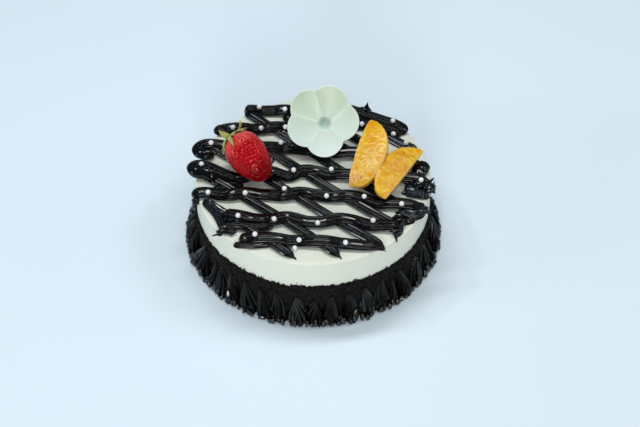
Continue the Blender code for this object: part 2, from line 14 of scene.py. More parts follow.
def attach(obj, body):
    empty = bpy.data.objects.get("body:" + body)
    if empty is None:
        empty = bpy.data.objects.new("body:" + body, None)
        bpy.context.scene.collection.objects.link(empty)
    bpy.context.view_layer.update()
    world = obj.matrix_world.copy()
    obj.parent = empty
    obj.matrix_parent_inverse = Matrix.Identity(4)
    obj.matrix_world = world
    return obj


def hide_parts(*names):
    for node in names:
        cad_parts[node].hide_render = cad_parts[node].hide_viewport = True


bl_info = {
    "name": "Black forest cake finish",
    "version": (1, 0, 0),
    "blender": (4, 5, 0),
    "location": "View3D > Sidebar > Cake",
    "description": "Cream, crumbs, piped ganache, white chocolate and fruit over the solids of a cake",
    "category": "Object",
}

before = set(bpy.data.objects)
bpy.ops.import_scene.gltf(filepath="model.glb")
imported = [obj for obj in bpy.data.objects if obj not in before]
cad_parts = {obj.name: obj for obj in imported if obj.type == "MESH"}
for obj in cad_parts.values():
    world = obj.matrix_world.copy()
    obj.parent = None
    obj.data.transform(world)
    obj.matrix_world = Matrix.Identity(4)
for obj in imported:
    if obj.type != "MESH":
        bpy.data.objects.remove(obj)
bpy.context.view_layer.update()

MM = 0.001
BODY = "root"

# Sizes that follow the solids.
CAKE_RADIUS = 77.8 * MM
CAKE_HEIGHT = 51.5 * MM
RIM_ROUND = 1.2 * MM
CRUMB_TOP = 31.4 * MM
CRUMB_PROUD = 1.1 * MM
SKIRT_RADIUS = CAKE_RADIUS + CRUMB_PROUD + 0.3 * MM
SHELL_FOOT_RADIUS = 87.3 * MM
SHELL_COUNT = 46

# How finely the cream and the crumb coat are divided: columns round the cake, then the rings' radii in
# mm on the top and the rings' shares of the coat's height.
CREAM_COLUMNS = 640
CREAM_TOP_RINGS = (74.5, 73, 71, 69, 66, 63, 59, 55, 50, 44, 37, 29, 20, 10)
CRUMB_COLUMNS = 700
CRUMB_LEVELS = (0.0, 0.3, 0.4, 0.46, 0.52, 0.58, 0.64, 0.7, 0.75, 0.8, 0.85, 0.9, 0.94, 0.975, 1.0)

# A shell of the skirt: width, depth and how deep its grooves run, each at its shares of the height.
SHELL_HEIGHT = 23.0 * MM
SHELL_RIDGES = 13
SHELL_LEVELS = np.concatenate([np.linspace(0.0, 0.2, 8), np.linspace(0.24, 1.0, 24)])
SHELL_WIDTH = ((0.0, 0.05, 0.14, 0.35, 0.55, 0.75, 0.9, 1.0), (5.8, 7.3, 7.8, 7.0, 5.3, 3.3, 1.6, 0.3))
SHELL_DEPTH = ((0.0, 0.04, 0.12, 0.3, 0.5, 0.7, 0.88, 1.0), (6.4, 8.2, 8.9, 8.0, 5.8, 3.7, 2.0, 0.8))
SHELL_GROOVE = ((0.0, 0.12, 0.4, 1.0), (0.2, 0.3, 0.5, 0.25))
CURL_COUNT = 150

# Piped ropes: where the ridges stand round a section, and the points from one ridge to the next.
ROW_RIDGES = np.radians([14, 100, 139, 178, 215, 300])
STRAND_RIDGES = np.radians([12, 56, 95, 134, 172, 240, 310])
TAIL_RIDGES = np.radians([30, 110, 170, 260])
RIDGE_SHARES = np.array((0.0, 0.07, 0.16, 0.28, 0.42, 0.58, 0.72, 0.84, 0.93))
# The height of the ropes' foot, and how high and how near a strand the rows rise over it.
ROPE_FOOT = CAKE_HEIGHT - 0.3 * MM
ROW_LIFT = 2.2 * MM
ROW_LIFT_REACH = 7.9 * MM

# Rows of the lattice: length of the narrowing at the left and right ends, then the route in mm.
ROWS = (
    (4, 6, ((-47, 63.5), (-30, 64), (-10, 64), (10, 64.5), (26, 63.5), (36, 59), (48, 53), (56, 49),
            (60.5, 44.5), (59.5, 40))),
    (5, 4, ((-67.5, 44.5), (-54, 45.5), (-38, 45.2), (-22, 46.5), (0, 47), (20, 48), (38, 49.5), (50, 45),
            (60, 39.5))),
    (6, 6, ((-66, 19.8), (-72.5, 19.2), (-77, 22), (-77.2, 26.4), (-71.5, 29.4), (-60, 28.5), (-45, 26),
             (-28, 26.5), (-15, 26), (0, 23), (15, 21.5), (30, 20.5), (45, 16), (60, 11.5), (72, 10.5))),
    (6, 8, ((-64, -4.5), (-71.5, 0.5), (-77.5, 2.2), (-80.2, 6), (-77.6, 9.4), (-70, 8), (-60, 2.3),
             (-50, -2), (-38, 2), (-27, 3.5), (-17, -0.5), (-8, 3.5), (2, 3.5), (12, 0.5), (25, -0.5),
             (45, -2), (62, -3.5), (76, -6))),
    (5, 12, ((-80, -16), (-68, -15.5), (-56, -17.8), (-45, -16.6), (-30, -17.5), (-20, -18.8), (-8, -16.6),
             (2, -17.8), (12, -20.3), (22, -19.8), (32, -22), (42, -26), (55, -27.5), (73, -31))),
    (5, 6, ((-59, -36), (-48, -37.5), (-38, -39.5), (-27, -40.5), (-17, -39), (-5, -42), (6, -42.5),
            (16, -40.8), (26, -42), (36, -45.5), (46, -46.5), (56, -48))),
    (3, 26, ((-48, -57), (-30, -57.3), (-15, -58.8), (0, -60), (15, -61.3), (28, -63), (38, -64.2),
             (45, -65))),
)
# Rows that start thin: their share of the full width at the start, and the mm until it is reached.
SLIM_STARTS = {2: (0.62, 34.0), 3: (0.62, 34.0)}
STRANDS = (
    ((-72, -22), (-43, -46.5), (-13, -72)),
    ((-76, 5), (-43, -21), (-14, -44.5), (16, -71.5)),
    ((-72, 31), (-45, 9.5), (-9, -20.5), (19, -44.5), (44, -63.5)),
    ((-58, 51.5), (-28, 23.5), (0, -2), (25, -23.5), (55, -47)),
    ((-46, 63.5), (-25, 44.5), (0, 21.5), (30, -5.5), (66, -35)),
    ((-20, 59), (0, 43.5), (33, 16.5), (60, -3.5), (74, -12)),
    ((13, 51), (27, 38), (38, 29), (50, 20)),
)
# Short ribbons and torn ends: half width and height in mm, then the route.
SCRAPS = (
    (3.9, 3.0, ((49, 39.5), (59, 31.5), (70, 24.5))),
    (3.8, 4.6, ((70, 12), (74, 7), (72, 2.5))),
    (4.4, 6.0, ((66, -8), (73, -9), (77, -14))),
    (3.2, 4.0, ((60, -16), (68, -17.5), (76, -20))),
    (4.4, 4.6, ((55, -33), (64, -37), (72, -34))),
    (3.4, 3.6, ((-71, -22), (-63, -33), (-58.5, -44), (-56, -50))),
    (4.0, 4.0, ((-58, -46), (-48, -45), (-36, -46), (-26, -44.5))),
    (3.8, 3.4, ((47, -42), (54, -46), (53, -55))),
    (2.6, 3.4, ((-51.5, -61.5), (-40, -62), (-26, -61))),
    (2.4, 3.2, ((-66, -12), (-55, -6), (-46, -8))),
)
# Scraps smeared thin, which wear the finish with a painted blue-grey reflection.
SMEARED_SHEEN_SCRAPS = (0, 3, 4, 5, 7)
# Torn lumps at the ends: middle, half sizes, turn in degrees, and 1 where the ganache is smeared thin and
# wears a painted blue-grey reflection.
LUMPS = (
    ((71.5, -9.5, 54.0), (6.5, 4.6, 2.8), -15, 0),
    ((64.5, -13.5, 53.0), (5.0, 3.0, 1.8), -25, 1),
    ((76.5, -12.5, 53.2), (3.6, 4.6, 2.6), 20, 1),
    ((70.5, 6.5, 53.0), (5.5, 6.5, 1.5), 20, 0),
    ((66.0, -29.5, 53.4), (7.5, 4.0, 2.4), -8, 0),
    ((58.5, -35.5, 52.8), (6.0, 3.4, 1.6), 12, 0),
    ((70.0, -33.5, 53.0), (5.5, 3.2, 2.2), 10, 1),
    ((55.5, -42.5, 53.8), (4.6, 3.8, 2.6), -35, 0),
    ((52.5, -49.5, 53.0), (4.0, 4.4, 2.0), 10, 0),
    ((35.2, 63.6, 53.6), (3.8, 2.6, 1.8), -25, 0),
    ((-58.5, -50.0, 53.0), (3.6, 2.6, 2.2), 20, 0),
    ((-53.5, -50.5, 53.0), (3.2, 2.4, 1.8), -20, 1),
    ((-77.0, -20.5, 50.6), (2.4, 3.2, 2.6), 10, 0),
    ((40.0, -65.3, 52.6), (4.6, 1.5, 1.2), -6, 0),
)
# Drawn-up points: foot, radius, height and how far the tip leans, in mm.
PEAKS = (
    ((37.0, 64.2, 52.6), 3.6, 8.6, (1.2, 0.4)),
    ((30.0, 65.0, 52.4), 2.4, 5.0, (-3.4, 1.0)),
    ((78.5, -10.5, 52.0), 2.2, 6.0, (1.8, 1.6)),
    ((63.5, -41.0, 52.4), 2.0, 3.0, (3.0, 1.5)),
    ((-60.5, -51.5, 51.6), 1.8, 2.6, (-3.0, -1.5)),
)
# Thin pulled tails: half width and height in mm, then the route.
TAILS = (
    (1.1, 2.0, ((73, -8), (77, -5), (80, -1.5))),
    (0.8, 1.6, ((58, -16), (68, -17.8), (78, -19.6))),
    (1.0, 1.6, ((51.5, -50), (52.5, -55), (53, -59.5))),
    (1.1, 1.6, ((57, -44), (61, -43.2), (65, -42))),
    (0.9, 1.4, ((-57, -49), (-61, -51), (-65.5, -52.6))),
    (0.9, 2.2, ((34, 62.5), (30, 65), (25, 67.2))),
    (0.5, 0.9, ((59, -17), (58, -14.5), (60.5, -13.5))),
    (0.8, 1.0, ((-30, 25), (-26.5, 21), (-27, 15), (-30, 11))),
    (0.7, 0.9, ((38, -64.2), (42, -65.8), (46, -66.6))),
    (2.0, 2.2, ((-70, -21), (-66, -30), (-61.5, -39), (-60, -46))),
    (1.6, 2.6, ((-67, -23), (-61.5, -33), (-57, -42), (-55, -49))),
    (1.2, 1.8, ((60, -30), (66, -32.5), (73, -31))),
    (1.3, 1.8, ((56, -34), (63, -36.5), (70, -37))),
    (1.2, 2.2, ((66, -11), (72, -13.5), (78, -12))),
    (1.1, 1.8, ((-13.6, -71.2), (-12.2, -72.6), (-11.2, -73.8))),
    (1.1, 1.8, ((15.4, -70.8), (16.6, -72.2), (17.2, -73.8))),
)
# Mounds under the flower and the raised segment: middle, radius and height in mm, then their shape.
MOUNDS = ((9, 37, 12.5, 23.0), (38.5, 26, 7.5, 17.5))
MOUND_PROFILE = ((0, 1), (0.2, 1.02), (0.5, 0.86), (0.78, 0.6), (0.95, 0.28))
MOUND_COLUMNS = 60
# Sugar pearls: their places in mm and how deep each sits.
PEARL_SINK = 0.55 * MM
PEARLS = (
    (-36.5, 63), (-19, 61.2), (-54, 42.2), (-35, 42.6), (-18.5, 43.2), (-68.3, 27), (-21.5, 28),
    (-74, 7.5), (-13, 1), (12, 2.6), (70.7, -9.3), (-68.8, -17.7), (-44.5, -20), (-19, -16), (8.5, -21.8),
    (33, -23.8), (57, -31.3), (-48.7, -40.2), (-25.4, -43.6), (2.5, -46.1), (38.1, -44.8), (-37.5, -57.7),
    (-9.5, -61), (-12.2, -64.6), (20, -63.5), (54.5, 48.8), (54.5, 38), (33.4, 46.9), (62.7, 29),
)

# The flower: its lowest point, how far it leans back, and how deep it is cupped and dimpled.
FLOWER_TIP = Vector((6.5, 15.0, 57.4)) * MM
FLOWER_LEAN = math.radians(45.0)
FLOWER_SUNK = 1.2 * MM
FLOWER_CUP = 4.2 * MM
FLOWER_CUP_CENTRE = 3.78 * MM
FLOWER_HALF_THICK = 0.75 * MM
DIMPLE_DEPTH = 2.0 * MM
DIMPLE_RADIUS = 4.7 * MM
BEHIND_FLOWER = 1.2 * MM
# Where the dimple lies off the outline's centre, to the right and up the face.
FLOWER_HEART = (1.8 * MM, -2.3 * MM)
# Five petals and the notches between them; the petals lap most at the strong notch.
PETAL_ANGLES = tuple(math.radians(a) for a in (68, 137, 203, 276, 356))
NOTCH_ANGLES = tuple(math.radians(a) for a in (34, 103, 167, 236.5, 318.5))
STRONG_NOTCH = 2
PETAL_RADIUS = 12.9 * MM
PETAL_REACH = 11.4 * MM
FLOWER_RIM = PETAL_REACH + PETAL_RADIUS
FLOWER_COLUMNS = 260
FLOWER_SHARES = np.concatenate([np.linspace(0.02, 0.3, 26), np.linspace(0.33, 0.94, 26), (0.97, 0.99)])
# The flower's painted light: a greener, darker top and a deeper dimple as painted shade, and a pale thin edge
# as a painted highlight.
FLOWER_SHADE_AND_HIGHLIGHT = ((0.53, 0.63, 0.48), (0.33, 0.51, 0.44), (0.8, 0.88, 0.84))

# The strawberry: its two ends, and its radius in mm at shares of its length.
BERRY_CROWN = Vector((-51.8, 18.8, 70.2)) * MM
BERRY_TIP = Vector((-30.4, -8.8, 59.4)) * MM
BERRY_PROFILE = (
    (0.0, 6.0), (0.07, 9.6), (0.2, 12.4), (0.36, 13.2), (0.52, 12.6), (0.68, 11.2), (0.83, 8.9), (0.94, 5.6),
)
BERRY_COLUMNS = 220
# Painted highlight on the raised lengthwise ridges of the strawberry.
BERRY_RIDGE_HIGHLIGHT = (0.74, 0.03, 0.035)
SEED_HALF = (0.26, 0.46, 0.2)
SEED_SINK = 0.42 * MM
# Leaves: turn round the stem in degrees, share of the length, half width in mm, how far it stands.
SEPALS = (
    (32, 0.95, 2.6, 0.9),
    (132, 1.0, 1.7, 0.7),
    (168, 0.9, 1.7, 0.4),
    (108, 0.95, 3.3, 0.1),
    (68, 0.85, 3.2, 0.05),
    (12, 1.2, 2.8, 0.1),
    (48, 1.3, 2.0, 0.0),
    (-30, 1.15, 2.3, 0.15),
    (-85, 0.8, 2.0, 0.3),
    (-140, 0.8, 2.0, 0.3),
)
# A leaf's course from the stem, outward and down in mm, where it lies on the fruit and where it stands.
SEPAL_LYING = ((1.5, -0.9), (6.2, -1.2), (10.1, 1.1), (12.6, 5.2), (14.0, 9.6))
SEPAL_STANDING = ((1.5, -0.9), (5.0, -2.2), (8.0, -5.5), (9.6, -10.5), (10.6, -15.0))
LEAF_STEPS = 26
LEAF_SPREAD = np.linspace(-1, 1, 9)
# The disc that joins the leaves: radius and height of its rings in mm.
CALYX = ((0.8, -1.7), (2.0, -1.5), (3.2, -1.1), (3.6, -0.7), (3.0, -0.35), (1.0, -0.3))
CALYX_COLUMNS = 28

# Mandarin segments: the ends of the inner edge, the swing of the back, the bow of the edge, the tilt
# in degrees and how blunt the two ends are.
MANDARINS = {
    "mandarin_left": ((24.0, -16.3, 59.4), (38.9, 32.4, 73.4), 17.6, 3.4, 4.0, (0.32, 0.5)),
    "mandarin_right": ((73.5, 14.5, 61.0), (46.5, -29.0, 60.0), 17.4, 0.5, -6.0, (0.5, 0.32)),
}
SEGMENT_SECTION = (
    (0.0, -0.12), (0.4, -0.36), (0.74, -0.48), (0.93, -0.32), (1.0, 0.08), (0.99, 0.4), (0.9, 0.5),
    (0.45, 0.38), (0.0, 0.12),
)
SEGMENT_TALL = 10.5 * MM

# The photographing camera: place, heading and lens.
CAMERA_PLACE = (-0.0038, -0.7949, 0.8385)
CAMERA_PITCH = math.radians(45.93)
CAMERA_YAW = math.radians(0.595)
CAMERA_LENS = 94.95

# Soft boxes that face the cake: name, place, size, power and colour.
LIGHTS = (
    ("key_light", (0.68, 0.22, 1.0), (0.5, 0.4), 2.6, (1.0, 0.985, 0.96)),
    ("strip_light", (-0.1, 0.38, 1.15), (0.7, 0.14), 5.8, (0.93, 0.97, 1.0)),
    ("side_strip_light", (-0.62, 0.3, 1.1), (0.2, 0.06), 1.6, (0.93, 0.97, 1.0)),
    ("front_strip_light", (0.0, -0.9, 0.9), (0.8, 0.12), 2.0, (0.95, 0.98, 1.0)),
    ("front_light", (-0.1, -1.2, 0.5), (0.3, 0.3), 6.2, (1.0, 0.99, 0.96)),
    ("left_light", (-1.0, -0.3, 0.4), (0.3, 0.2), 1.5, (0.97, 0.99, 1.0)),
    ("right_light", (1.0, 0.1, 0.5), (0.3, 0.2), 0.5, (0.97, 0.99, 1.0)),
)
LIGHT_AIM = Vector((0.0, 0.0, 0.04))
FLOOR_HALF = 3.0


# Small tools for meshes.

def smooth_noise(values, scale, seed):
    """Smooth noise from -1 to 1 at each row of an array of places, features about scale across."""
    places = np.asarray(values, float) / scale
    return np.array([noise.noise(Vector(p) + Vector((seed, 1.7 * seed, -seed))) for p in places])


def rough_noise(values, scale, octaves, seed):
    """Noise with finer detail at half the strength for each octave."""
    total = np.zeros(len(values))
    for octave in range(octaves):
        total += smooth_noise(values, scale / 2**octave, seed + 11.3 * octave) / 2**octave
    return total


def circle(columns):
    """Angles evenly round a circle."""
    return np.linspace(0.0, math.tau, columns, endpoint=False)


def wall_directions(columns):
    """Flat unit directions evenly round the cake."""
    turns = circle(columns)
    return np.column_stack([np.cos(turns), np.sin(turns), np.zeros(columns)])


def unit(rows):
    return rows / np.linalg.norm(rows, axis=1)[:, None]


def catmull(points, samples):
    """Points along the smooth curve through the given ones, as an array."""
    given = np.asarray(points, float)
    padded = np.vstack([2 * given[0] - given[1], given, 2 * given[-1] - given[-2]])
    spans = len(given) - 1
    result = []
    for t in np.linspace(0.0, spans, samples):
        i = min(int(t), spans - 1)
        u = t - i
        a, b, c, d = padded[i : i + 4]
        result.append(
            0.5 * (2 * b + (c - a) * u + (2 * a - 5 * b + 4 * c - d) * u**2 + (3 * b - a - 3 * c + d) * u**3)
        )
    return np.array(result)


def run_length(points):
    """How far along a route each of its points lies."""
    return np.concatenate([[0.0], np.cumsum(np.linalg.norm(np.diff(points, axis=0), axis=1))])


def even_route(points, step):
    """The smooth curve through the points, in steps of one length."""
    fine = catmull(points, 40 * len(points))
    lengths = run_length(fine)
    wanted = np.linspace(0.0, lengths[-1], max(6, int(round(lengths[-1] / step))) + 1)
    return np.stack([np.interp(wanted, lengths, fine[:, k]) for k in range(fine.shape[1])], axis=1)


def grid_faces(rows, columns):
    """Quads between closed rings of points."""
    faces = []
    for a in range(0, (rows - 1) * columns, columns):
        for i in range(columns):
            j = (i + 1) % columns
            faces.append((a + i, a + j, a + columns + j, a + columns + i))
    return faces


def cap_faces(first, columns, pole):
    return [(first + i, first + (i + 1) % columns, pole) for i in range(columns)]


def tube(rings, poles=None):
    """Points and faces of a closed skin through rings, shut at its poles or the end rings' middles."""
    rows, columns = rings.shape[:2]
    start, end = poles or (rings[0].mean(axis=0), rings[-1].mean(axis=0))
    points = np.vstack([rings.reshape(-1, 3), start, end])
    faces = grid_faces(rows, columns)
    faces += cap_faces(0, columns, rows * columns)
    faces += cap_faces((rows - 1) * columns, columns, rows * columns + 1)
    return points, faces


def blob(subdivisions):
    """Points and faces of a unit ball."""
    work = bmesh.new()
    bmesh.ops.create_icosphere(work, subdivisions=subdivisions, radius=1.0)
    points = np.array([v.co[:] for v in work.verts])
    faces = [tuple(v.index for v in f.verts) for f in work.faces]
    work.free()
    return points, faces


class Heap:
    """Gathers several skins into one mesh."""

    def __init__(self):
        self.points = []
        self.faces = []
        self.marks = []
        self.count = 0

    def add(self, points, faces, mark=0):
        """Adds a skin. The mark says which of the piece's finishes it wears."""
        self.points.append(np.asarray(points, float))
        shift = self.count
        self.faces += [tuple(i + shift for i in face) for face in faces]
        self.marks += [mark] * len(faces)
        self.count += len(points)

    def piece(self, name, finishes):
        made = piece(name, np.vstack(self.points), self.faces, finishes)
        made.data.polygons.foreach_set("material_index", np.array(self.marks, np.int32))
        return made


def piece(name, points, faces, finishes):
    """A smooth mesh object with its faces turned outward."""
    mesh = bpy.data.meshes.new(name)
    mesh.from_pydata(np.asarray(points).tolist(), [], faces)
    for finish in finishes:
        mesh.materials.append(finish)
    work = bmesh.new()
    work.from_mesh(mesh)
    bmesh.ops.recalc_face_normals(work, faces=work.faces)
    work.to_mesh(mesh)
    work.free()
    mesh.shade_smooth()
    obj = bpy.data.objects.new(name, mesh)
    bpy.context.scene.collection.objects.link(obj)
    return obj


def paint(obj, name, values):
    """Stores a value at each point of a piece, for its finish to read."""
    obj.data.attributes.new(name, "FLOAT", "POINT").data.foreach_set("value", values)


def dress(obj, node):
    """Lets a finished piece stand for a solid."""
    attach(obj, BODY)
    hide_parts(node)


# Materials.

def scaled(colour, share):
    """A colour made darker or lighter."""
    return tuple(share * c for c in colour)


class Finish:
    """Builds the node tree of one material step by step."""

    def __init__(self, name, colour, roughness):
        self.material = bpy.data.materials.new(name)
        self.material.use_nodes = True
        self.material.diffuse_color = (*colour, 1.0)
        self.tree = self.material.node_tree
        self.shader = self.tree.nodes["Principled BSDF"]
        self.set(Base_Color=(*colour, 1.0), Roughness=roughness)
        self.where = self.node("ShaderNodeTexCoord").outputs["Object"]
        self.height = None

    def node(self, kind, **settings):
        made = self.tree.nodes.new(kind)
        for key, value in settings.items():
            setattr(made, key, value)
        return made

    def link(self, a, b):
        self.tree.links.new(a, b)

    def fill(self, node, **values):
        """Sets a node's inputs, named with _ in place of each space."""
        for key, value in values.items():
            node.inputs[key.replace("_", " ")].default_value = value

    def set(self, **values):
        self.fill(self.shader, **values)

    def milky(self, weight, radius, scale):
        """Lets light into the material."""
        self.set(Subsurface_Weight=weight, Subsurface_Radius=radius, Subsurface_Scale=scale)

    def feed(self, socket, value):
        """Gives a socket a number, a colour or another node's result."""
        if isinstance(value, (int, float)):
            socket.default_value = value
        elif isinstance(value, tuple):
            socket.default_value = (*value, 1.0)
        else:
            self.link(value, socket)

    def noise(self, scale, detail=3.0, roughness=0.5, where=None, distortion=0.0):
        made = self.node("ShaderNodeTexNoise")
        self.fill(made, Scale=scale, Detail=detail, Roughness=roughness, Distortion=distortion)
        self.link(where or self.where, made.inputs["Vector"])
        return made.outputs["Fac"]

    def cells(self, scale):
        made = self.node("ShaderNodeTexVoronoi")
        self.fill(made, Scale=scale)
        self.link(self.where, made.inputs["Vector"])
        return made.outputs["Distance"]

    def painted(self, name):
        """The value that a piece's points hold under this name."""
        return self.node("ShaderNodeAttribute", attribute_name=name).outputs["Fac"]

    def stretched(self, scale, rotation=(0.0, 0.0, 0.0)):
        made = self.node("ShaderNodeMapping")
        self.fill(made, Scale=scale, Rotation=rotation)
        self.link(self.where, made.inputs["Vector"])
        return made.outputs["Vector"]

    def along(self, start, end):
        """Zero at the start point and one at the end point, in the piece's own coordinates."""
        line = Vector(end) - Vector(start)
        shifted = self.node("ShaderNodeVectorMath", operation="SUBTRACT")
        self.link(self.where, shifted.inputs[0])
        shifted.inputs[1].default_value = start
        dot = self.node("ShaderNodeVectorMath", operation="DOT_PRODUCT")
        self.link(shifted.outputs[0], dot.inputs[0])
        dot.inputs[1].default_value = line / line.length_squared
        return dot.outputs["Value"]

    def ramp(self, value, stops):
        """A colour or grey ramp from (place, colour) stops."""
        made = self.node("ShaderNodeValToRGB")
        band = made.color_ramp
        while len(band.elements) > 1:
            band.elements.remove(band.elements[-1])
        for i, (place, colour) in enumerate(stops):
            element = band.elements[0] if i == 0 else band.elements.new(place)
            element.position = place
            rgb = (colour,) * 3 if isinstance(colour, float) else colour
            element.color = (*rgb, 1.0)
        self.link(value, made.inputs["Fac"])
        return made.outputs["Color"]

    def math(self, operation, a, b):
        made = self.node("ShaderNodeMath", operation=operation)
        self.feed(made.inputs[0], a)
        self.feed(made.inputs[1], b)
        return made.outputs[0]

    def mix(self, share, a, b):
        """Colour a where the share is zero and colour b where it is one."""
        made = self.node("ShaderNodeMix", data_type="RGBA")
        for i, value in ((0, share), (6, a), (7, b)):
            self.feed(made.inputs[i], value)
        return made.outputs[2]

    def colour(self, socket):
        self.link(socket, self.shader.inputs["Base Color"])

    def rough(self, value, low, high):
        made = self.node("ShaderNodeMapRange")
        self.fill(made, To_Min=low, To_Max=high)
        self.link(value, made.inputs["Value"])
        self.link(made.outputs[0], self.shader.inputs["Roughness"])

    def bump(self, value, distance, strength):
        """Raises the surface by the value, over the bumps that are there already."""
        made = self.node("ShaderNodeBump")
        self.fill(made, Distance=distance, Strength=strength)
        self.link(value, made.inputs["Height"])
        if self.height:
            self.link(self.height, made.inputs["Normal"])
        self.height = made.outputs["Normal"]
        self.link(self.height, self.shader.inputs["Normal"])


def cream_finish(colour):
    """Satin cream with faint knife strokes and a few pits."""
    made = Finish("whipped_cream", colour, 0.5)
    made.colour(made.mix(made.noise(45.0), scaled(colour, 0.97), scaled(colour, 1.03)))
    made.rough(made.noise(300.0, 2.0), 0.38, 0.6)
    made.milky(0.35, (0.004, 0.004, 0.003), 0.6)
    made.set(Specular_IOR_Level=0.35)
    made.bump(made.noise(90.0, where=made.stretched((1.0, 1.0, 3.5))), 0.0005, 0.35)
    pits = made.ramp(made.cells(330.0), ((0.0, 0.0), (0.13, 1.0)))
    sparse = made.ramp(made.noise(60.0, 1.0), ((0.56, 0.0), (0.62, 1.0)))
    made.bump(made.mix(sparse, (1.0, 1.0, 1.0), pits), 0.0004, 0.5)
    return made.material


def crumb_finish(colour):
    """Dry grains, with painted shade between them."""
    made = Finish("chocolate_crumbs", colour, 0.8)
    grains = made.cells(900.0)
    tone = made.mix(made.noise(500.0), scaled(colour, 0.2), scaled(colour, 5.0))
    # Painted shade: darker between the grains.
    made.colour(made.mix(made.ramp(grains, ((0.1, 1.0), (0.6, 0.1))), scaled(colour, 0.3), tone))
    made.rough(made.noise(700.0, 2.0), 0.45, 0.95)
    made.set(Specular_IOR_Level=0.14)
    made.bump(grains, 0.0006, 0.8)
    made.bump(made.noise(1800.0), 0.0003, 0.7)
    return made.material


def ganache_finish(name, colour, tint, low=0.06, high=0.11, shine=0.26):
    """Dark and glossy, with a little cloudiness in the tint colour; the blue-grey tint of the smeared ganache
    is a painted reflection.
    """
    made = Finish(name, colour, 0.25)
    clouds = made.noise(120.0, 4.0, 0.6)
    made.colour(made.mix(made.ramp(clouds, ((0.45, 0.0), (0.66, 1.0))), colour, tint))
    made.rough(made.noise(260.0), low, high)
    made.set(Specular_IOR_Level=shine)
    made.bump(made.noise(200.0, 2.0), 0.00003, 0.1)
    return made.material


def pearl_finish(colour):
    """White sugar under a thin glaze."""
    made = Finish("sugar_pearl", colour, 0.3)
    made.colour(made.mix(made.noise(900.0, 2.0), scaled(colour, 0.93), colour))
    made.rough(made.noise(1200.0, 2.0), 0.24, 0.4)
    made.set(Coat_Weight=0.3, Coat_Roughness=0.15)
    made.bump(made.noise(2500.0, 2.0), 0.00005, 0.4)
    return made.material


def chocolate_finish(colour, shaded_top, deep, pale):
    """Pale mint chocolate with painted light: a greener, darker top and a deeper dimple as painted shade, and
    a paler thin edge as a painted highlight.
    """
    made = Finish("white_chocolate", colour, 0.35)
    top = FLOWER_TIP + 2 * FLOWER_RIM * Vector((0.0, math.cos(FLOWER_LEAN), math.sin(FLOWER_LEAN)))
    # Painted shade: the colour turns greener and darker up the leaning face.
    rise = made.math("ADD", made.along(FLOWER_TIP, top), made.math("MULTIPLY", made.noise(45.0), 0.3))
    tone = made.mix(made.ramp(rise, ((0.2, 0.0), (1.05, 1.0))), colour, shaded_top)
    # Painted highlight: the thin edge is paler.
    tone = made.mix(made.painted("rim"), tone, pale)
    # Painted shade: the dimple takes the deeper tone.
    made.colour(made.mix(made.painted("hollow"), tone, deep))
    made.rough(made.noise(160.0), 0.3, 0.42)
    made.milky(0.5, (0.004, 0.006, 0.005), 0.5)
    made.bump(made.noise(900.0, 2.0), 0.00006, 0.4)
    return made.material


def berry_finish(colour, pale, deep, ridge_highlight):
    """Wet red flesh, with a painted highlight at the pale shoulder, painted shade towards the tip, painted
    highlights along the raised ridges and painted shade in the pits.
    """
    made = Finish("strawberry_flesh", colour, 0.18)
    run = made.along(BERRY_CROWN, BERRY_TIP)
    # Painted light: paler at the shoulder as a painted highlight and darker towards the tip as painted shade.
    wander = made.math("ADD", run, made.math("MULTIPLY", made.noise(140.0), 0.3))
    tone = made.ramp(wander, ((0.22, pale), (0.45, colour), (0.78, colour), (1.0, deep)))
    # Painted highlight: brighter along the raised ridges, less towards the tip.
    ridge_highlight_share = made.math("SUBTRACT", made.painted("streak"), made.math("MULTIPLY", run, 0.42))
    tone = made.mix(made.ramp(ridge_highlight_share, ((0.34, 0.0), (0.66, 0.3))), tone, ridge_highlight)
    # Painted shade: darker in the pits round the seeds.
    made.colour(made.mix(made.painted("pit"), tone, scaled(deep, 0.8)))
    made.rough(made.noise(350.0), 0.05, 0.1)
    made.milky(0.1, (0.003, 0.0004, 0.0003), 0.3)
    made.set(Specular_IOR_Level=0.44, Specular_Tint=(1.0, 0.45, 0.45, 1.0))
    made.bump(made.noise(800.0, 2.0), 0.00008, 0.2)
    return made.material


def seed_finish(colour):
    made = Finish("berry_seed", colour, 0.35)
    made.colour(made.mix(made.noise(1500.0, 2.0), scaled(colour, 0.6), colour))
    made.rough(made.noise(900.0, 1.0), 0.2, 0.4)
    made.set(Specular_IOR_Level=0.25)
    return made.material


def leaf_finish(colour, tip):
    """Green leaf that dries towards its tip and edges."""
    made = Finish("strawberry_leaf", colour, 0.5)
    tone = made.mix(made.noise(260.0), scaled(colour, 0.7), scaled(colour, 1.25))
    made.colour(made.mix(made.ramp(made.painted("reach"), ((0.55, 0.0), (1.0, 0.9))), tone, tip))
    made.rough(made.noise(500.0, 2.0), 0.4, 0.6)
    made.milky(0.3, (0.002, 0.003, 0.001), 0.5)
    made.bump(made.noise(900.0), 0.0002, 0.6)
    return made.material


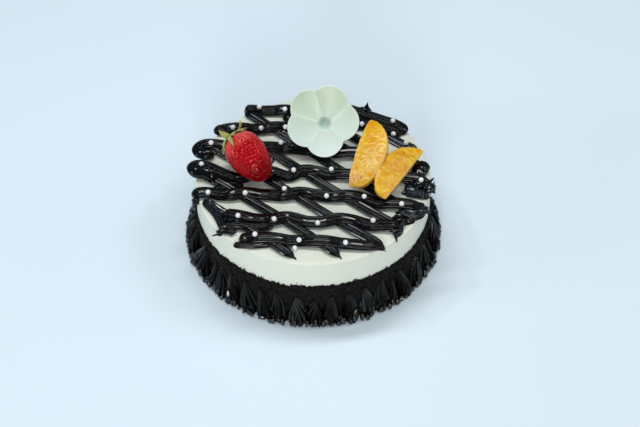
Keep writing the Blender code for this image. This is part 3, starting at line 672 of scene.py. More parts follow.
def mandarin_finish(colour, deep, pith):
    """Juice sacs under a thin skin, with pale threads and pith along the edges."""
    made = Finish("mandarin_flesh", colour, 0.3)
    grains = made.noise(330.0, 3.0, 0.6)
    patches = made.ramp(made.noise(120.0, 4.0, 0.6), ((0.42, 0.0), (0.58, 1.0)))
    tone = made.mix(patches, colour, deep)
    tone = made.mix(made.ramp(grains, ((0.52, 0.0), (0.66, 0.7))), tone, (0.9, 0.57, 0.05))
    tone = made.mix(made.ramp(grains, ((0.32, 0.6), (0.45, 0.0))), tone, (0.56, 0.2, 0.0))
    faded = made.ramp(made.noise(150.0, 3.0, 0.6), ((0.6, 0.0), (0.7, 0.4)))
    tone = made.mix(faded, tone, pith)
    slanted = made.stretched((1.0, 0.3, 1.0), (0.0, 0.0, -0.7))
    threads = made.ramp(made.noise(330.0, 3.0, 0.55, slanted, 0.8), ((0.57, 0.0), (0.63, 1.0)))
    creases = made.ramp(made.noise(260.0, 3.0, 0.55, slanted, 1.2), ((0.54, 0.0), (0.62, 0.8)))
    worn = made.painted("worn")
    tone = made.mix(made.math("MULTIPLY", worn, 0.5), tone, (0.46, 0.27, 0.03))
    tone = made.mix(made.math("MULTIPLY", creases, worn), tone, (0.3, 0.12, 0.01))
    threads = made.math("MULTIPLY", made.math("MULTIPLY", threads, worn), 0.35)
    made.colour(made.mix(made.math("MAXIMUM", threads, made.painted("pith")), tone, pith))
    made.rough(made.noise(200.0), 0.12, 0.34)
    made.milky(0.12, (0.003, 0.0015, 0.0005), 0.3)
    made.set(Specular_IOR_Level=0.28)
    made.bump(grains, 0.0004, 0.4)
    return made.material


def floor_finish(colour):
    made = Finish("pale_table", colour, 0.7)
    made.colour(made.mix(made.noise(6.0, 2.0), scaled(colour, 0.985), colour))
    made.rough(made.noise(40.0, 2.0), 0.65, 0.75)
    made.set(Specular_IOR_Level=0.2)
    return made.material


# Piped shapes.

def cusps(angles, ridges, depth, crest=0.85):
    """How far a ribbed section is drawn in at each angle; a larger crest value makes rounder ridges."""
    ridges = np.sort(np.asarray(ridges) % math.tau)
    places = np.concatenate([[ridges[-1] - math.tau], ridges, [ridges[0] + math.tau]])
    turned = np.asarray(angles) % math.tau
    index = np.clip(np.searchsorted(places, turned + 1e-9, side="right") - 1, 0, len(places) - 2)
    width = places[index + 1] - places[index]
    share = np.clip((turned - places[index]) / width, 0.0, 1.0)
    scale = np.where(width > math.radians(60), 0.35, np.clip(width / math.radians(45), 0.3, 1.0))
    return depth * np.sin(math.pi * share) ** crest * scale


def ridge_angles(ridges):
    """Angles round a section that fall on each ridge and close beside it."""
    ridges = np.sort(np.asarray(ridges) % math.tau)
    following = np.append(ridges[1:], ridges[0] + math.tau)
    return (ridges[:, None] + (following - ridges)[:, None] * RIDGE_SHARES).ravel()


def lift_at(places):
    """How much higher a row lies at each place, where it crosses a straight strand."""
    best = np.full(len(places), np.inf)
    for route in STRANDS:
        corners = np.array(route, float) * MM
        for a, b in zip(corners, corners[1:]):
            line = b - a
            u = np.clip((places - a) @ line / (line @ line), 0.0, 1.0)
            best = np.minimum(best, np.linalg.norm(a + u[:, None] * line - places, axis=1))
    return ROW_LIFT * np.clip(1.0 - (best / ROW_LIFT_REACH) ** 2, 0.0, 1.0)


def rope(route, half_width, height, ridges, groove, tapers, seed, lift=None, wander=0.0, squareness=0.8,
         step=0.8, tail=(1.0, 1.0), crest=1.6):
    """A piped rope on the cake's top: a ribbed section drawn along a route, round at its ends."""
    places = even_route(np.array(route, float) * MM, step * MM)
    ahead = np.gradient(places, axis=0)
    for _ in range(3):
        ahead[1:-1] = (ahead[:-2] + 2 * ahead[1:-1] + ahead[2:]) / 4
    ahead = unit(ahead)
    side = np.stack([-ahead[:, 1], ahead[:, 0]], axis=1)
    run = run_length(places)
    start = np.clip(run / (tapers[0] * MM), 0.0, 1.0)
    end = np.clip((run[-1] - run) / (tapers[1] * MM), 0.0, 1.0)
    share = np.clip(np.sqrt(np.clip(1 - (1 - np.minimum(start, end)) ** 2, 0.0, 1.0)), 0.06, 1.0)
    spots = np.column_stack([places, np.zeros(len(places))])
    slim = np.interp(run / (tail[1] * MM), (0.0, 1.0), (tail[0], 1.0))
    swell = slim * (1 + 0.05 * smooth_noise(spots, 14 * MM, seed))
    twist = wander * smooth_noise(spots, 22 * MM, seed + 5.1)
    tall = height * (0.45 + 0.55 * share) * (2 - swell)
    if lift is not None:
        tall = tall + lift(places) * share
    base = ridge_angles(ridges)
    drawn = cusps(base, ridges, groove, crest)
    rings = []
    for i, centre in enumerate(places):
        angles = base + twist[i]
        pull = 1 - drawn * min(1.0, share[i] * 1.6)
        rise = np.sin(angles)
        up = np.where(rise > 0, 0.38 + 0.62 * np.abs(rise) ** squareness * pull, 0.38 + 0.38 * rise)
        width = half_width * share[i] * swell[i]
        flat = centre + np.outer(np.cos(angles) * pull, side[i]) * width
        rings.append(np.column_stack([flat, ROPE_FOOT + up * tall[i]]))
    return tube(np.array(rings))


def lump(place, sizes, turn, seed):
    """A torn lump of ganache: a flattened ball with folds pulled across it."""
    ball, faces = blob(4)
    folds = rough_noise(ball * (0.8, 2.0, 1.0), 1.0, 2, seed)
    ridged = 1 - np.abs(smooth_noise(ball * (0.7, 3.0, 1.0), 0.8, seed + 2.0)) * 1.6
    turns = np.arctan2(ball[:, 1], ball[:, 0])
    torn = 0.13 * np.sin(5 * turns + 2.3 * seed) + 0.1 * np.sin(9 * turns + 1.1 * seed)
    shape = ball * (1 + 0.08 * folds + 0.07 * ridged)[:, None]
    shape[:, :2] *= (1 + torn * np.hypot(ball[:, 0], ball[:, 1]) ** 2)[:, None]
    shape[:, 2] = np.where(shape[:, 2] < 0, shape[:, 2] * 0.6, shape[:, 2])
    spin = np.array(Matrix.Rotation(math.radians(turn), 3, "Z"))
    return (shape * np.array(sizes) * MM) @ spin.T + np.array(place) * MM, faces


def peak(place, radius, height, lean):
    """A drawn-up point of ganache: wide at its foot, thin and bent at its tip."""
    turns = circle(24)
    rings = []
    for level in np.linspace(0.0, 0.97, 22):
        size = radius * ((1 - level) ** 1.7 * 0.9 + 0.1 * (1 - level))
        centre = np.array(place) + np.array((*lean, 0.0)) * level**2 + (0.0, 0.0, height * level)
        ring = np.column_stack([np.cos(turns), np.sin(turns) * 0.8, 0.12 * np.sin(2 * turns)]) * size + centre
        rings.append(ring * MM)
    return tube(np.array(rings))


def mound(x, y, radius, height):
    """A soft mound of ganache that carries a topping, clear of the flower's back."""
    wall = wall_directions(MOUND_COLUMNS)
    rings = []
    for level, share in catmull(MOUND_PROFILE, 26):
        pull = 1 - cusps(circle(MOUND_COLUMNS) + 2.2 * level, circle(9), 0.1)
        middle = (x * MM, y * MM, CAKE_HEIGHT + level * height * MM)
        rings.append(wall * pull[:, None] * radius * share * MM + middle)
    points, faces = tube(np.array(rings))
    return behind_flower(points), faces


# The flower's and the strawberry's forms.

def flower_frame():
    """The flower's right, its up, the way it faces and its middle."""
    right = np.array((1.0, 0.0, 0.0))
    up = np.array((0.0, math.cos(FLOWER_LEAN), math.sin(FLOWER_LEAN)))
    out = np.cross(right, up)
    centre = np.array(FLOWER_TIP) + up * (FLOWER_RIM - FLOWER_SUNK) - out * FLOWER_CUP_CENTRE
    return right, up, out, centre


def petal_edge(angle):
    """The flower's outline: the farthest edge of five overlapping round petals."""
    reach = 0.0
    for petal in PETAL_ANGLES:
        off = PETAL_REACH * math.sin(angle - petal)
        if abs(off) < PETAL_RADIUS:
            reach = max(reach, PETAL_REACH * math.cos(angle - petal) + math.sqrt(PETAL_RADIUS**2 - off**2))
    return reach


def flower_height(radius, angle):
    """How far the flower's face stands up from its flat middle, petals lapping one over the next."""
    share = radius / FLOWER_RIM
    middle = max(math.cos(angle - petal) for petal in PETAL_ANGLES)
    crease = 0.75 * MM * (1 - middle) / 0.2 * share * (1 - share) * 4
    dimple = DIMPLE_DEPTH * max(0.0, 1 - (radius / DIMPLE_RADIUS) ** 2) ** 1.2
    lap = 0.0
    line = 0.0
    for notch in NOTCH_ANGLES:
        turn = (angle - notch + math.pi) % math.tau - math.pi
        if abs(turn) < 1.2:
            off = radius * math.sin(turn)
            strong = 1.0 if notch == NOTCH_ANGLES[STRONG_NOTCH] else 0.25
            lap += 0.3 * strong * MM * math.tanh(off / (1.0 * MM)) * math.exp(-abs(off) / (6 * MM))
            line += 0.14 * strong * MM * math.exp(-((off / (0.8 * MM)) ** 2))
    fade = max(0.0, min(1.0, (radius - 3.5 * MM) / (4 * MM)))
    rim = 0.25 * MM * math.exp(-(((share - 1.0) * FLOWER_RIM / (0.8 * MM)) ** 2))
    return FLOWER_CUP * share**1.7 + crease - dimple + (lap + line) * fade + rim


def behind_flower(points):
    """Presses points back behind the flower where they would stand through it."""
    right, up, out, centre = flower_frame()
    for point in points:
        away = point - centre
        inward = 1 - min(1.0, math.hypot(away @ right, away @ up) / FLOWER_RIM)
        across = away @ right - FLOWER_HEART[0] * inward
        rise = away @ up - FLOWER_HEART[1] * inward
        radius = math.hypot(across, rise)
        if radius > FLOWER_RIM:
            continue
        limit = flower_height(radius, math.atan2(rise, across)) - BEHIND_FLOWER
        depth = away @ out
        if limit - 12 * MM < depth and depth > limit:
            point += out * (limit - depth)
    return points


def berry_frame():
    """The strawberry's axis from crown to tip, its side and its up."""
    axis = (BERRY_TIP - BERRY_CROWN).normalized()
    side = axis.cross(Vector((0.0, 0.0, 1.0))).normalized()
    return np.array(axis), np.array(side), np.array(side.cross(axis))


# Settings that a user would change.

def length_setting(name, description, size):
    return FloatProperty(name=name, description=description, default=size * MM, unit="LENGTH")


def colour_setting(name, description, default):
    return FloatVectorProperty(
        name=name, description=description, default=default, subtype="COLOR", size=3, min=0.0, max=1.0
    )


class CakeSizes(bpy.types.PropertyGroup):
    row_width: length_setting("Row half width", "Half the width of a wavy row", 4.75)
    row_height: length_setting("Row height", "Height of a wavy row on the cream", 5.0)
    strand_width: length_setting("Strand half width", "Half the width of a straight strand", 3.7)
    strand_height: length_setting("Strand height", "Height of a straight strand", 3.8)
    pearl_radius: length_setting("Pearl radius", "Radius of a sugar pearl", 1.7)
    crumb_size: length_setting("Crumb size", "Radius of the largest crumbs", 0.75)
    crumb_count: IntProperty(name="Crumbs", description="How many loose crumbs show", default=5200, min=0)
    seed_spacing: length_setting("Seed spacing", "Distance between a strawberry's seeds", 3.0)


class CakeFinish(bpy.types.PropertyGroup):
    cream: colour_setting("Cream", "Whipped cream", (0.735, 0.765, 0.665))
    crumbs: colour_setting("Crumbs", "Chocolate crumbs", (0.007, 0.006, 0.0052))
    ganache: colour_setting("Ganache", "Piped ganache of the lattice", (0.002, 0.0022, 0.003))
    shells: colour_setting("Shells", "Piped ganache of the skirt", (0.0022, 0.002, 0.0018))
    # Thin smeared ganache, with a painted blue-grey reflection in its colour.
    smear: colour_setting("Smear", "Thinly smeared ganache", (0.003, 0.0045, 0.006))
    pearl: colour_setting("Pearls", "Sugar pearls", (0.85, 0.86, 0.88))
    chocolate: colour_setting("White chocolate", "The flower", (0.73, 0.875, 0.81))
    berry: colour_setting("Strawberry", "Flesh of the strawberry", (0.39, 0.0, 0.004))
    # Painted highlight: the paler shoulder of the strawberry.
    berry_shoulder_highlight: colour_setting("Strawberry shoulder", "Flesh next to the leaves", (0.84, 0.13, 0.105))
    # Painted shade: the darker tip of the strawberry.
    berry_tip_shade: colour_setting("Strawberry tip", "Flesh at the tip", (0.2, 0.0, 0.003))
    seed: colour_setting("Seeds", "Seeds of the strawberry", (0.36, 0.02, 0.01))
    leaf: colour_setting("Leaf", "Leaves of the strawberry", (0.42, 0.44, 0.13))
    leaf_tip: colour_setting("Leaf tip", "Dry tips of the leaves", (0.36, 0.24, 0.08))
    mandarin: colour_setting("Mandarin", "Flesh of the segments", (0.76, 0.45, 0.012))
    mandarin_deep: colour_setting("Mandarin patches", "Deeper patches", (0.74, 0.31, 0.0))
    pith: colour_setting("Pith", "Threads and edges of the segments", (0.7, 0.49, 0.15))
    table: colour_setting("Table", "The pale floor", (0.745, 0.865, 0.953))


def size_settings():
    return bpy.context.scene.cake_sizes


def shade(name):
    """One of the colours that the panel lists."""
    return tuple(getattr(bpy.context.scene.cake_finish, name))


# Pieces.

class CAKE_OT_cream(bpy.types.Operator):
    """Spread the whipped cream: a smooth wall, a soft rim and a flat top"""

    bl_idname = "cake.cream"
    bl_label = "Cream body"

    def execute(self, context):
        wall = wall_directions(CREAM_COLUMNS)
        low = smooth_noise(wall, 0.35, 3.0) * 0.35 * MM
        nicks = np.clip(rough_noise(wall, 0.06, 3, 8.0), 0.0, 1.0) * 0.8 * MM
        rings = []
        for zone, radius, z in self.profile():
            ring = wall * radius + np.array([0.0, 0.0, z])
            if zone == "wall":
                wave = rough_noise(ring * np.array([1.0, 1.0, 2.4]), 17 * MM, 3, 1.0) * 0.16 * MM
                ring = ring + wall * (low + wave)[:, None]
            elif zone == "rim":
                ring = ring + wall * low[:, None]
                ring[:, 2] += 0.35 * MM * rough_noise(ring, 9 * MM, 3, 4.0) - 0.3 * nicks
                ring = ring + wall * (0.3 * MM * rough_noise(ring, 4 * MM, 2, 9.0))[:, None]
            elif zone == "top":
                ring[:, 2] += 0.3 * MM * rough_noise(ring, 13 * MM, 2, 4.0)
            rings.append(ring)
        points, faces = tube(np.array(rings), ((0, 0, 0), (0, 0, CAKE_HEIGHT)))
        body = piece("cream_body", points, faces, [cream_finish(shade("cream"))])
        dress(body, "cream_cake")
        return {"FINISHED"}

    def profile(self):
        """Zone, radius and height of each ring, from the foot over the rim to the middle of the top."""
        rings = [("foot", CAKE_RADIUS - 0.5 * MM, 0.0), ("foot", CAKE_RADIUS - 0.3 * MM, 20 * MM)]
        rings += [("wall", CAKE_RADIUS, z * MM) for z in np.linspace(27, 50.3, 26)]
        for bend in np.linspace(0.15, math.pi / 2, 7):
            radius = CAKE_RADIUS - RIM_ROUND * (1 - math.cos(bend))
            rings.append(("rim", radius, CAKE_HEIGHT - RIM_ROUND + RIM_ROUND * math.sin(bend)))
        return rings + [("top", radius * MM, CAKE_HEIGHT) for radius in CREAM_TOP_RINGS]


class CAKE_OT_crumbs(bpy.types.Operator):
    """Press the chocolate crumbs round the foot: a rough coat and loose crumbs on it"""

    bl_idname = "cake.crumbs"
    bl_label = "Crumb coat"

    def execute(self, context):
        heap = Heap()
        wall = wall_directions(CRUMB_COLUMNS)
        edge = rough_noise(wall, 0.035, 3, 2.0) * 1.1 * MM
        heap.add(*self.coat(wall, edge))
        self.strew(heap, edge)
        coat = heap.piece("crumb_coat", [crumb_finish(shade("crumbs"))])
        coat.data.set_sharp_from_angle(angle=math.radians(38))
        dress(coat, "cream_cake")
        return {"FINISHED"}

    def coat(self, wall, edge):
        """A rough band round the foot, closed behind inside the cream."""
        flat = np.zeros((CRUMB_COLUMNS, 2))
        rings = []
        for level in CRUMB_LEVELS:
            z = level * CRUMB_TOP + edge * level**4
            ring = wall * (CAKE_RADIUS + 0.9 * MM) + np.column_stack([flat, z])
            grain = rough_noise(ring, 1.9 * MM, 2, 6.0) * 0.7 * MM
            thin = min(1.0, (1.0 - level) * 14)
            rings.append(ring + wall * ((grain - (1 - thin) * 1.1 * MM) * min(1.0, level * 3))[:, None])
        inner = wall * (CAKE_RADIUS - 1.2 * MM)
        rings += [inner + np.column_stack([flat, CRUMB_TOP + edge]), inner]
        faces = grid_faces(len(rings), CRUMB_COLUMNS)
        last = (len(rings) - 1) * CRUMB_COLUMNS
        for i in range(CRUMB_COLUMNS):
            j = (i + 1) % CRUMB_COLUMNS
            faces.append((last + i, last + j, j, i))
        return np.array(rings).reshape(-1, 3), faces

    def strew(self, heap, edge):
        """Loose crumbs, densest towards the coat's upper edge, and a few that stuck above it."""
        rng = np.random.default_rng(5)
        sizes = size_settings()
        ball, faces = blob(1)
        for _ in range(sizes.crumb_count):
            size = sizes.crumb_size * rng.uniform(0.3, 1.0) ** 1.5
            turn = rng.uniform(0.0, math.tau)
            shift = edge[int(turn / math.tau * CRUMB_COLUMNS)]
            level = 1.0 - rng.uniform(0.0, 1.0) ** 1.5 * 0.62
            z = level * CRUMB_TOP + shift + rng.normal(0.0, 0.35) * MM
            stray = rng.random() < 0.004
            if stray:
                z = CRUMB_TOP + rng.uniform(0.8, 3.2) * MM
                size *= 0.7
            radius = CAKE_RADIUS + (0.2 * MM if stray or z > CRUMB_TOP + shift else CRUMB_PROUD)
            shape = ball * rng.uniform(0.55, 1.2, 3) * size * rng.uniform(0.7, 1.25, (len(ball), 1))
            spin = np.array(Matrix.Rotation(rng.uniform(0, math.tau), 3, Vector(rng.normal(size=3))))
            heap.add(shape @ spin.T + (radius * math.cos(turn), radius * math.sin(turn), z), faces)


class CAKE_OT_shells(bpy.types.Operator):
    """Pipe the skirt: ribbed shells, each fat at the foot and drawn up to a point"""

    bl_idname = "cake.shells"
    bl_label = "Shell border"

    def execute(self, context):
        rng = np.random.default_rng(11)
        heap = Heap()
        for number in range(SHELL_COUNT):
            heap.add(*self.shell(number, rng), mark=int(number % 4 == 1))
        self.curls(heap, rng)
        colour = shade("shells")
        ribbed = ganache_finish("ganache_shells", colour, (0.004, 0.0038, 0.003), 0.06, 0.12, 0.22)
        wet = ganache_finish("ganache_shells_wet", colour, (0.006, 0.006, 0.004), 0.05, 0.1, 0.4)
        curled = ganache_finish("ganache_curls", colour, (0.004, 0.007, 0.012), 0.04, 0.08, 0.95)
        dress(heap.piece("shell_border_piped", [ribbed, wet, curled]), "shell_border")
        return {"FINISHED"}

    def shell(self, number, rng):
        """One shell, unlike its neighbours in height, lean, twist and folds."""
        turn = math.tau * (number + 0.5 + rng.uniform(-0.16, 0.16)) / SHELL_COUNT
        height = SHELL_HEIGHT * rng.uniform(0.8, 1.08)
        lean = rng.uniform(-0.55, 0.55) * math.tau / SHELL_COUNT
        fat = rng.uniform(0.88, 1.05)
        spin = rng.uniform(-1.3, 1.3)
        ridges = circle(SHELL_RIDGES) + rng.uniform(0, 0.5)
        ridges += rng.uniform(-0.14, 0.14, SHELL_RIDGES)
        angles = ridge_angles(ridges)
        drawn = cusps(angles, ridges, 1.0)
        sway = rng.uniform(-1.2, 1.2) * MM
        fold = rng.uniform(-0.5, 0.5)
        wobble = rng.uniform(0.0, 0.22, 10)
        wobble[-1] = wobble[0]
        lobe = 1 - np.interp(angles % math.tau, np.linspace(0, math.tau, 10), wobble)
        rings = []
        for level in SHELL_LEVELS:
            here = turn + lean * level + sway * math.sin(level * 4) / SKIRT_RADIUS
            out = np.array([math.cos(here), math.sin(here), 0.0])
            side = np.array([-out[1], out[0], 0.0])
            width = np.interp(level, *SHELL_WIDTH) * MM * fat
            depth = np.interp(level, *SHELL_DEPTH) * MM * fat
            pull = (1 - drawn * np.interp(level, *SHELL_GROOVE)) * lobe
            turned = angles + spin * level
            front = np.cos(turned + fold * math.sin(math.pi * level))
            outward = np.where(front > 0, front * pull * depth, front * 1.2 * MM)
            droop = 1.6 * MM * math.sin(min(1.0, level / 0.2) * math.pi) * np.clip(front, 0, 1) * pull
            ring = out * (SKIRT_RADIUS + outward)[:, None] + side * (np.sin(turned) * pull * width)[:, None]
            ring[:, 2] = np.maximum(level * height - droop, 0.0)
            rings.append(ring)
        points, faces = tube(np.array(rings))
        reach = np.linalg.norm(points[:, :2], axis=1)
        points[:, :2] *= np.minimum(1.0, (SHELL_FOOT_RADIUS + 0.5 * MM) / reach)[:, None]
        return points, faces

    def curls(self, heap, rng):
        """Small folds squeezed out round the foot of the skirt."""
        ball, faces = blob(3)
        for curl in range(CURL_COUNT):
            turn = math.tau * (curl + rng.uniform(-0.4, 0.4)) / CURL_COUNT
            out = np.array([math.cos(turn), math.sin(turn), 0.0])
            side = np.array([-out[1], out[0], 0.0])
            tall = rng.uniform(1.5, 3.6) * MM
            half = (rng.uniform(1.6, 2.6) * MM, rng.uniform(0.9, 2.2) * MM, tall)
            folds = 1 + 0.22 * rough_noise(ball * (1.0, 2.0, 1.0), 0.8, 2, 1.7 * curl)
            shape = ball * folds[:, None] * half
            reach = SHELL_FOOT_RADIUS - rng.uniform(1.3, 3.0) * MM
            centre = out * reach + (0.0, 0.0, tall * rng.uniform(0.6, 1.0))
            points = shape @ np.array((out, side, (0.0, 0.0, 1.0))) + centre
            points[:, 2] = np.maximum(points[:, 2], 0.0)
            heap.add(points, faces, mark=2)


class CAKE_OT_lattice(bpy.types.Operator):
    """Pipe the lattice: straight strands, wavy rows over them, scraps and torn ends"""

    bl_idname = "cake.lattice"
    bl_label = "Ganache lattice"

    def execute(self, context):
        sizes = size_settings()
        heap = Heap()
        for n, route in enumerate(STRANDS):
            height = sizes.strand_height + 0.1 * MM * (n % 3)
            heap.add(*rope(route, sizes.strand_width, height, STRAND_RIDGES, 0.36, (5, 9), 30 + n,
                           wander=0.06, squareness=0.75, crest=0.9))
        for n, (start, end, route) in enumerate(ROWS):
            heap.add(*rope(route, sizes.row_width, sizes.row_height, ROW_RIDGES, 0.3, (start, end), n,
                           lift=lift_at, wander=0.14, tail=SLIM_STARTS.get(n, (1.0, 1.0)), crest=1.0))
        # Smeared scraps wear the finish with a painted blue-grey reflection.
        for n, (half_width, height, route) in enumerate(SCRAPS):
            heap.add(*rope(route, half_width * MM, height * MM, STRAND_RIDGES + 0.2 * n, 0.2, (4, 6), 60 + n,
                           wander=0.4), mark=int(n in SMEARED_SHEEN_SCRAPS))
        for spot in MOUNDS:
            heap.add(*mound(*spot))
        # Lumps marked 1 wear the finish with a painted blue-grey reflection.
        for n, (place, half_sizes, turn, mark) in enumerate(LUMPS):
            heap.add(*lump(place, half_sizes, turn, 3.0 * n), mark=mark)
        for point in PEAKS:
            heap.add(*peak(*point))
        for n, (half_width, height, route) in enumerate(TAILS):
            heap.add(*rope(route, half_width * MM, height * MM, TAIL_RIDGES, 0.15, (3, 9), 90 + n,
                           wander=0.2, step=0.6))
        dark = ganache_finish("ganache", shade("ganache"), (0.002, 0.003, 0.0045))
        # The smeared ganache: thin ganache whose blue-grey clouds are a painted reflection.
        smear = ganache_finish("ganache_smear", shade("smear"), (0.008, 0.022, 0.033), 0.12, 0.2, 0.36)
        dress(heap.piece("lattice_piped", [dark, smear]), "piped_lattice")
        return {"FINISHED"}


class CAKE_OT_pearls(bpy.types.Operator):
    """Set the sugar pearls on the lattice"""

    bl_idname = "cake.pearls"
    bl_label = "Sugar pearls"

    def execute(self, context):
        radius = size_settings().pearl_radius
        mesh = bpy.data.objects["lattice_piped"].data
        tree = BVHTree.FromPolygons(
            [v.co[:] for v in mesh.vertices], [tuple(p.vertices) for p in mesh.polygons]
        )
        heap = Heap()
        ball, faces = blob(3)
        for x, y in PEARLS:
            hit = tree.ray_cast(Vector((x * MM, y * MM, 0.2)), Vector((0.0, 0.0, -1.0)))[0]
            rest = max(hit.z, CAKE_HEIGHT) if hit else CAKE_HEIGHT
            heap.add(ball * radius + (x * MM, y * MM, rest + radius - PEARL_SINK), faces)
        dress(heap.piece("sugar_pearls", [pearl_finish(shade("pearl"))]), "piped_lattice")
        return {"FINISHED"}


class CAKE_OT_flower(bpy.types.Operator):
    """Mould the white chocolate flower: five lapped petals round a dimple"""

    bl_idname = "cake.flower"
    bl_label = "Chocolate flower"

    def execute(self, context):
        right, up, out, centre = flower_frame()
        angles = circle(FLOWER_COLUMNS)
        edges = np.array([petal_edge(angle) for angle in angles])

        def heights(reaches):
            return np.array([flower_height(reach, angle) for reach, angle in zip(reaches, angles)])

        def ring(reaches, lift, inward):
            across = reaches * np.cos(angles) + FLOWER_HEART[0] * inward
            rise = reaches * np.sin(angles) + FLOWER_HEART[1] * inward
            return centre + np.outer(across, right) + np.outer(rise, up) + np.outer(lift, out)

        face = []
        back = []
        hollow = []
        for share in FLOWER_SHARES:
            reaches = edges * share
            lift = heights(reaches)
            face.append(ring(reaches, lift + FLOWER_HALF_THICK, 1 - share))
            back.append(ring(reaches, lift - FLOWER_HALF_THICK, 1 - share))
            # Painted shade: the middle of the face, round the dimple, takes the deeper tone.
            hollow.append(np.clip(1.9 - 0.4 * reaches / MM, 0.0, 0.75))
        lip = []
        for turn in np.radians(np.linspace(60, -60, 5)):
            reaches = edges - 0.3 * MM + 0.45 * MM * math.cos(turn)
            lip.append(ring(reaches, heights(edges) + FLOWER_HALF_THICK * math.sin(turn), 0.0))
        heart = centre + right * FLOWER_HEART[0] + up * FLOWER_HEART[1] + out * flower_height(0.0, 0.0)
        poles = (heart + out * FLOWER_HALF_THICK, heart - out * FLOWER_HALF_THICK)
        points, faces = tube(np.array(face + lip + back[::-1]), poles)
        finish = chocolate_finish(shade("chocolate"), *FLOWER_SHADE_AND_HIGHLIGHT)
        flower = piece("flower_moulded", points, faces, [finish])
        # Painted shade in the dimple and at the face's pole.
        depth = np.zeros(len(points))
        depth[: len(face) * FLOWER_COLUMNS] = np.concatenate(hollow)
        depth[-2] = 1.0
        paint(flower, "hollow", depth)
        # Painted highlight along the thin edge, from the face's last ring round the lip.
        rim = np.zeros(len(points))
        first = (len(face) - 1) * FLOWER_COLUMNS
        rim[first : first + (len(lip) + 2) * FLOWER_COLUMNS] = 0.7
        paint(flower, "rim", rim)
        dress(flower, "chocolate_flower")
        return {"FINISHED"}


class CAKE_OT_strawberry(bpy.types.Operator):
    """Grow the strawberry: glossy flesh with rows of pits and a seed in each"""

    bl_idname = "cake.strawberry"
    bl_label = "Strawberry"

    def execute(self, context):
        axis, side, up = berry_frame()
        crown = np.array(BERRY_CROWN)
        length = (BERRY_TIP - BERRY_CROWN).length
        shoulder = [(0.0, r * MM) for r in (1.5, 3.0, 4.6)]
        nose = [(0.975, 3.4 * MM), (0.992, 1.6 * MM)]
        profile = np.vstack([shoulder, catmull(BERRY_PROFILE, 110) * (1.0, MM), nose])
        turns = circle(BERRY_COLUMNS)
        circles = np.column_stack([np.cos(turns), np.sin(turns)])
        outward = circles[:, :1] * side + circles[:, 1:] * up
        lobes = self.lobe(turns)
        rings = np.array([crown + axis * t * length + outward * (r * lobes)[:, None] for t, r in profile])
        points = rings.reshape(-1, 3)
        slope = np.gradient(profile[:, 1]) / np.maximum(np.gradient(profile[:, 0]) * length, 1e-6)
        slope = np.repeat(np.clip(slope, -4, 4), BERRY_COLUMNS)
        normals = unit(np.tile(outward, (len(profile), 1)) - axis * slope[:, None])
        places = np.column_stack([
            np.tile(circles, (len(profile), 1)), 0.9 * np.repeat(profile[:, 0], BERRY_COLUMNS)
        ])
        # Raised lengthwise ridges, which the finish also paints with a highlight.
        streak = rough_noise(places, 0.5, 3, 2.0)
        seeds = []
        depth = np.full(len(points), 9.0)
        for spot, turn, reach in self.seed_rows(profile, length):
            out = math.cos(turn) * side + math.sin(turn) * up
            place = crown + axis * spot * length + out * reach
            seeds.append((place, out, spot))
            depth = np.minimum(depth, np.linalg.norm((points - place) / MM, axis=1))
        pit = np.exp(-((depth / 0.6) ** 2))
        puff = np.clip(depth / 1.5, 0, 1) ** 2
        points = points + normals * ((0.1 * puff - 0.45 * pit - 0.05) * MM)[:, None]
        waves = rough_noise(points, 9 * MM, 1, 1.0) * 0.22 + 0.3 * streak
        points = points + normals * (waves * MM)[:, None]
        points, faces = tube(points.reshape(rings.shape), (crown, crown + axis * length))
        flesh = berry_finish(shade("berry"), shade("berry_shoulder_highlight"), shade("berry_tip_shade"), BERRY_RIDGE_HIGHLIGHT)
        body = piece("strawberry_body", points, faces, [flesh])
        # Marks for the finish: painted shade in the pits and painted highlight along the raised ridges.
        paint(body, "pit", np.append(np.clip(pit * 1.2 - 0.25, 0.0, 0.75), (0.0, 0.0)))
        paint(body, "streak", np.append(0.5 + 0.5 * streak, (0.5, 0.5)))
        dress(body, "strawberry")
        self.plant(seeds, profile, length)
        return {"FINISHED"}

    def lobe(self, turn):
        """How much the fruit swells at a turn round its axis."""
        return 1 + 0.025 * np.cos(3 * turn + 0.6)

    def seed_rows(self, profile, length):
        """Share of the length, turn and reach of each seed, in staggered rows, closer at both ends."""
        rng = np.random.default_rng(3)
        spacing = size_settings().seed_spacing
        row = 0
        along = 0.05
        while along < 0.985:
            count = max(3, int(math.tau * np.interp(along, *profile.T) / spacing))
            for k in range(count):
                turn = math.tau * (k + 0.5 * (row % 2) + rng.uniform(-0.2, 0.2)) / count
                spot = along + rng.uniform(-0.018, 0.018)
                yield spot, turn, np.interp(spot, *profile.T) * self.lobe(turn)
            along += spacing * 0.88 / length * (0.72 if along > 0.86 or along < 0.1 else 1.0)
            row += 1

    def plant(self, seeds, profile, length):
        """Sets a seed in each pit, lying along the fruit."""
        axis = berry_frame()[0]
        heap = Heap()
        ball, faces = blob(2)
        slopes = np.gradient(profile[:, 1], profile[:, 0] * length + 1e-9 * np.arange(len(profile)))
        for place, out, spot in seeds:
            normal = out - axis * np.clip(np.interp(spot, profile[:, 0], slopes), -3, 3)
            normal /= np.linalg.norm(normal)
            down = axis - normal * (axis @ normal)
            down /= np.linalg.norm(down)
            turned = (ball * SEED_HALF * MM) @ np.array((np.cross(normal, down), down, normal))
            heap.add(turned + place - normal * SEED_SINK, faces)
        dress(heap.piece("strawberry_seeds", [seed_finish(shade("seed"))]), "strawberry")


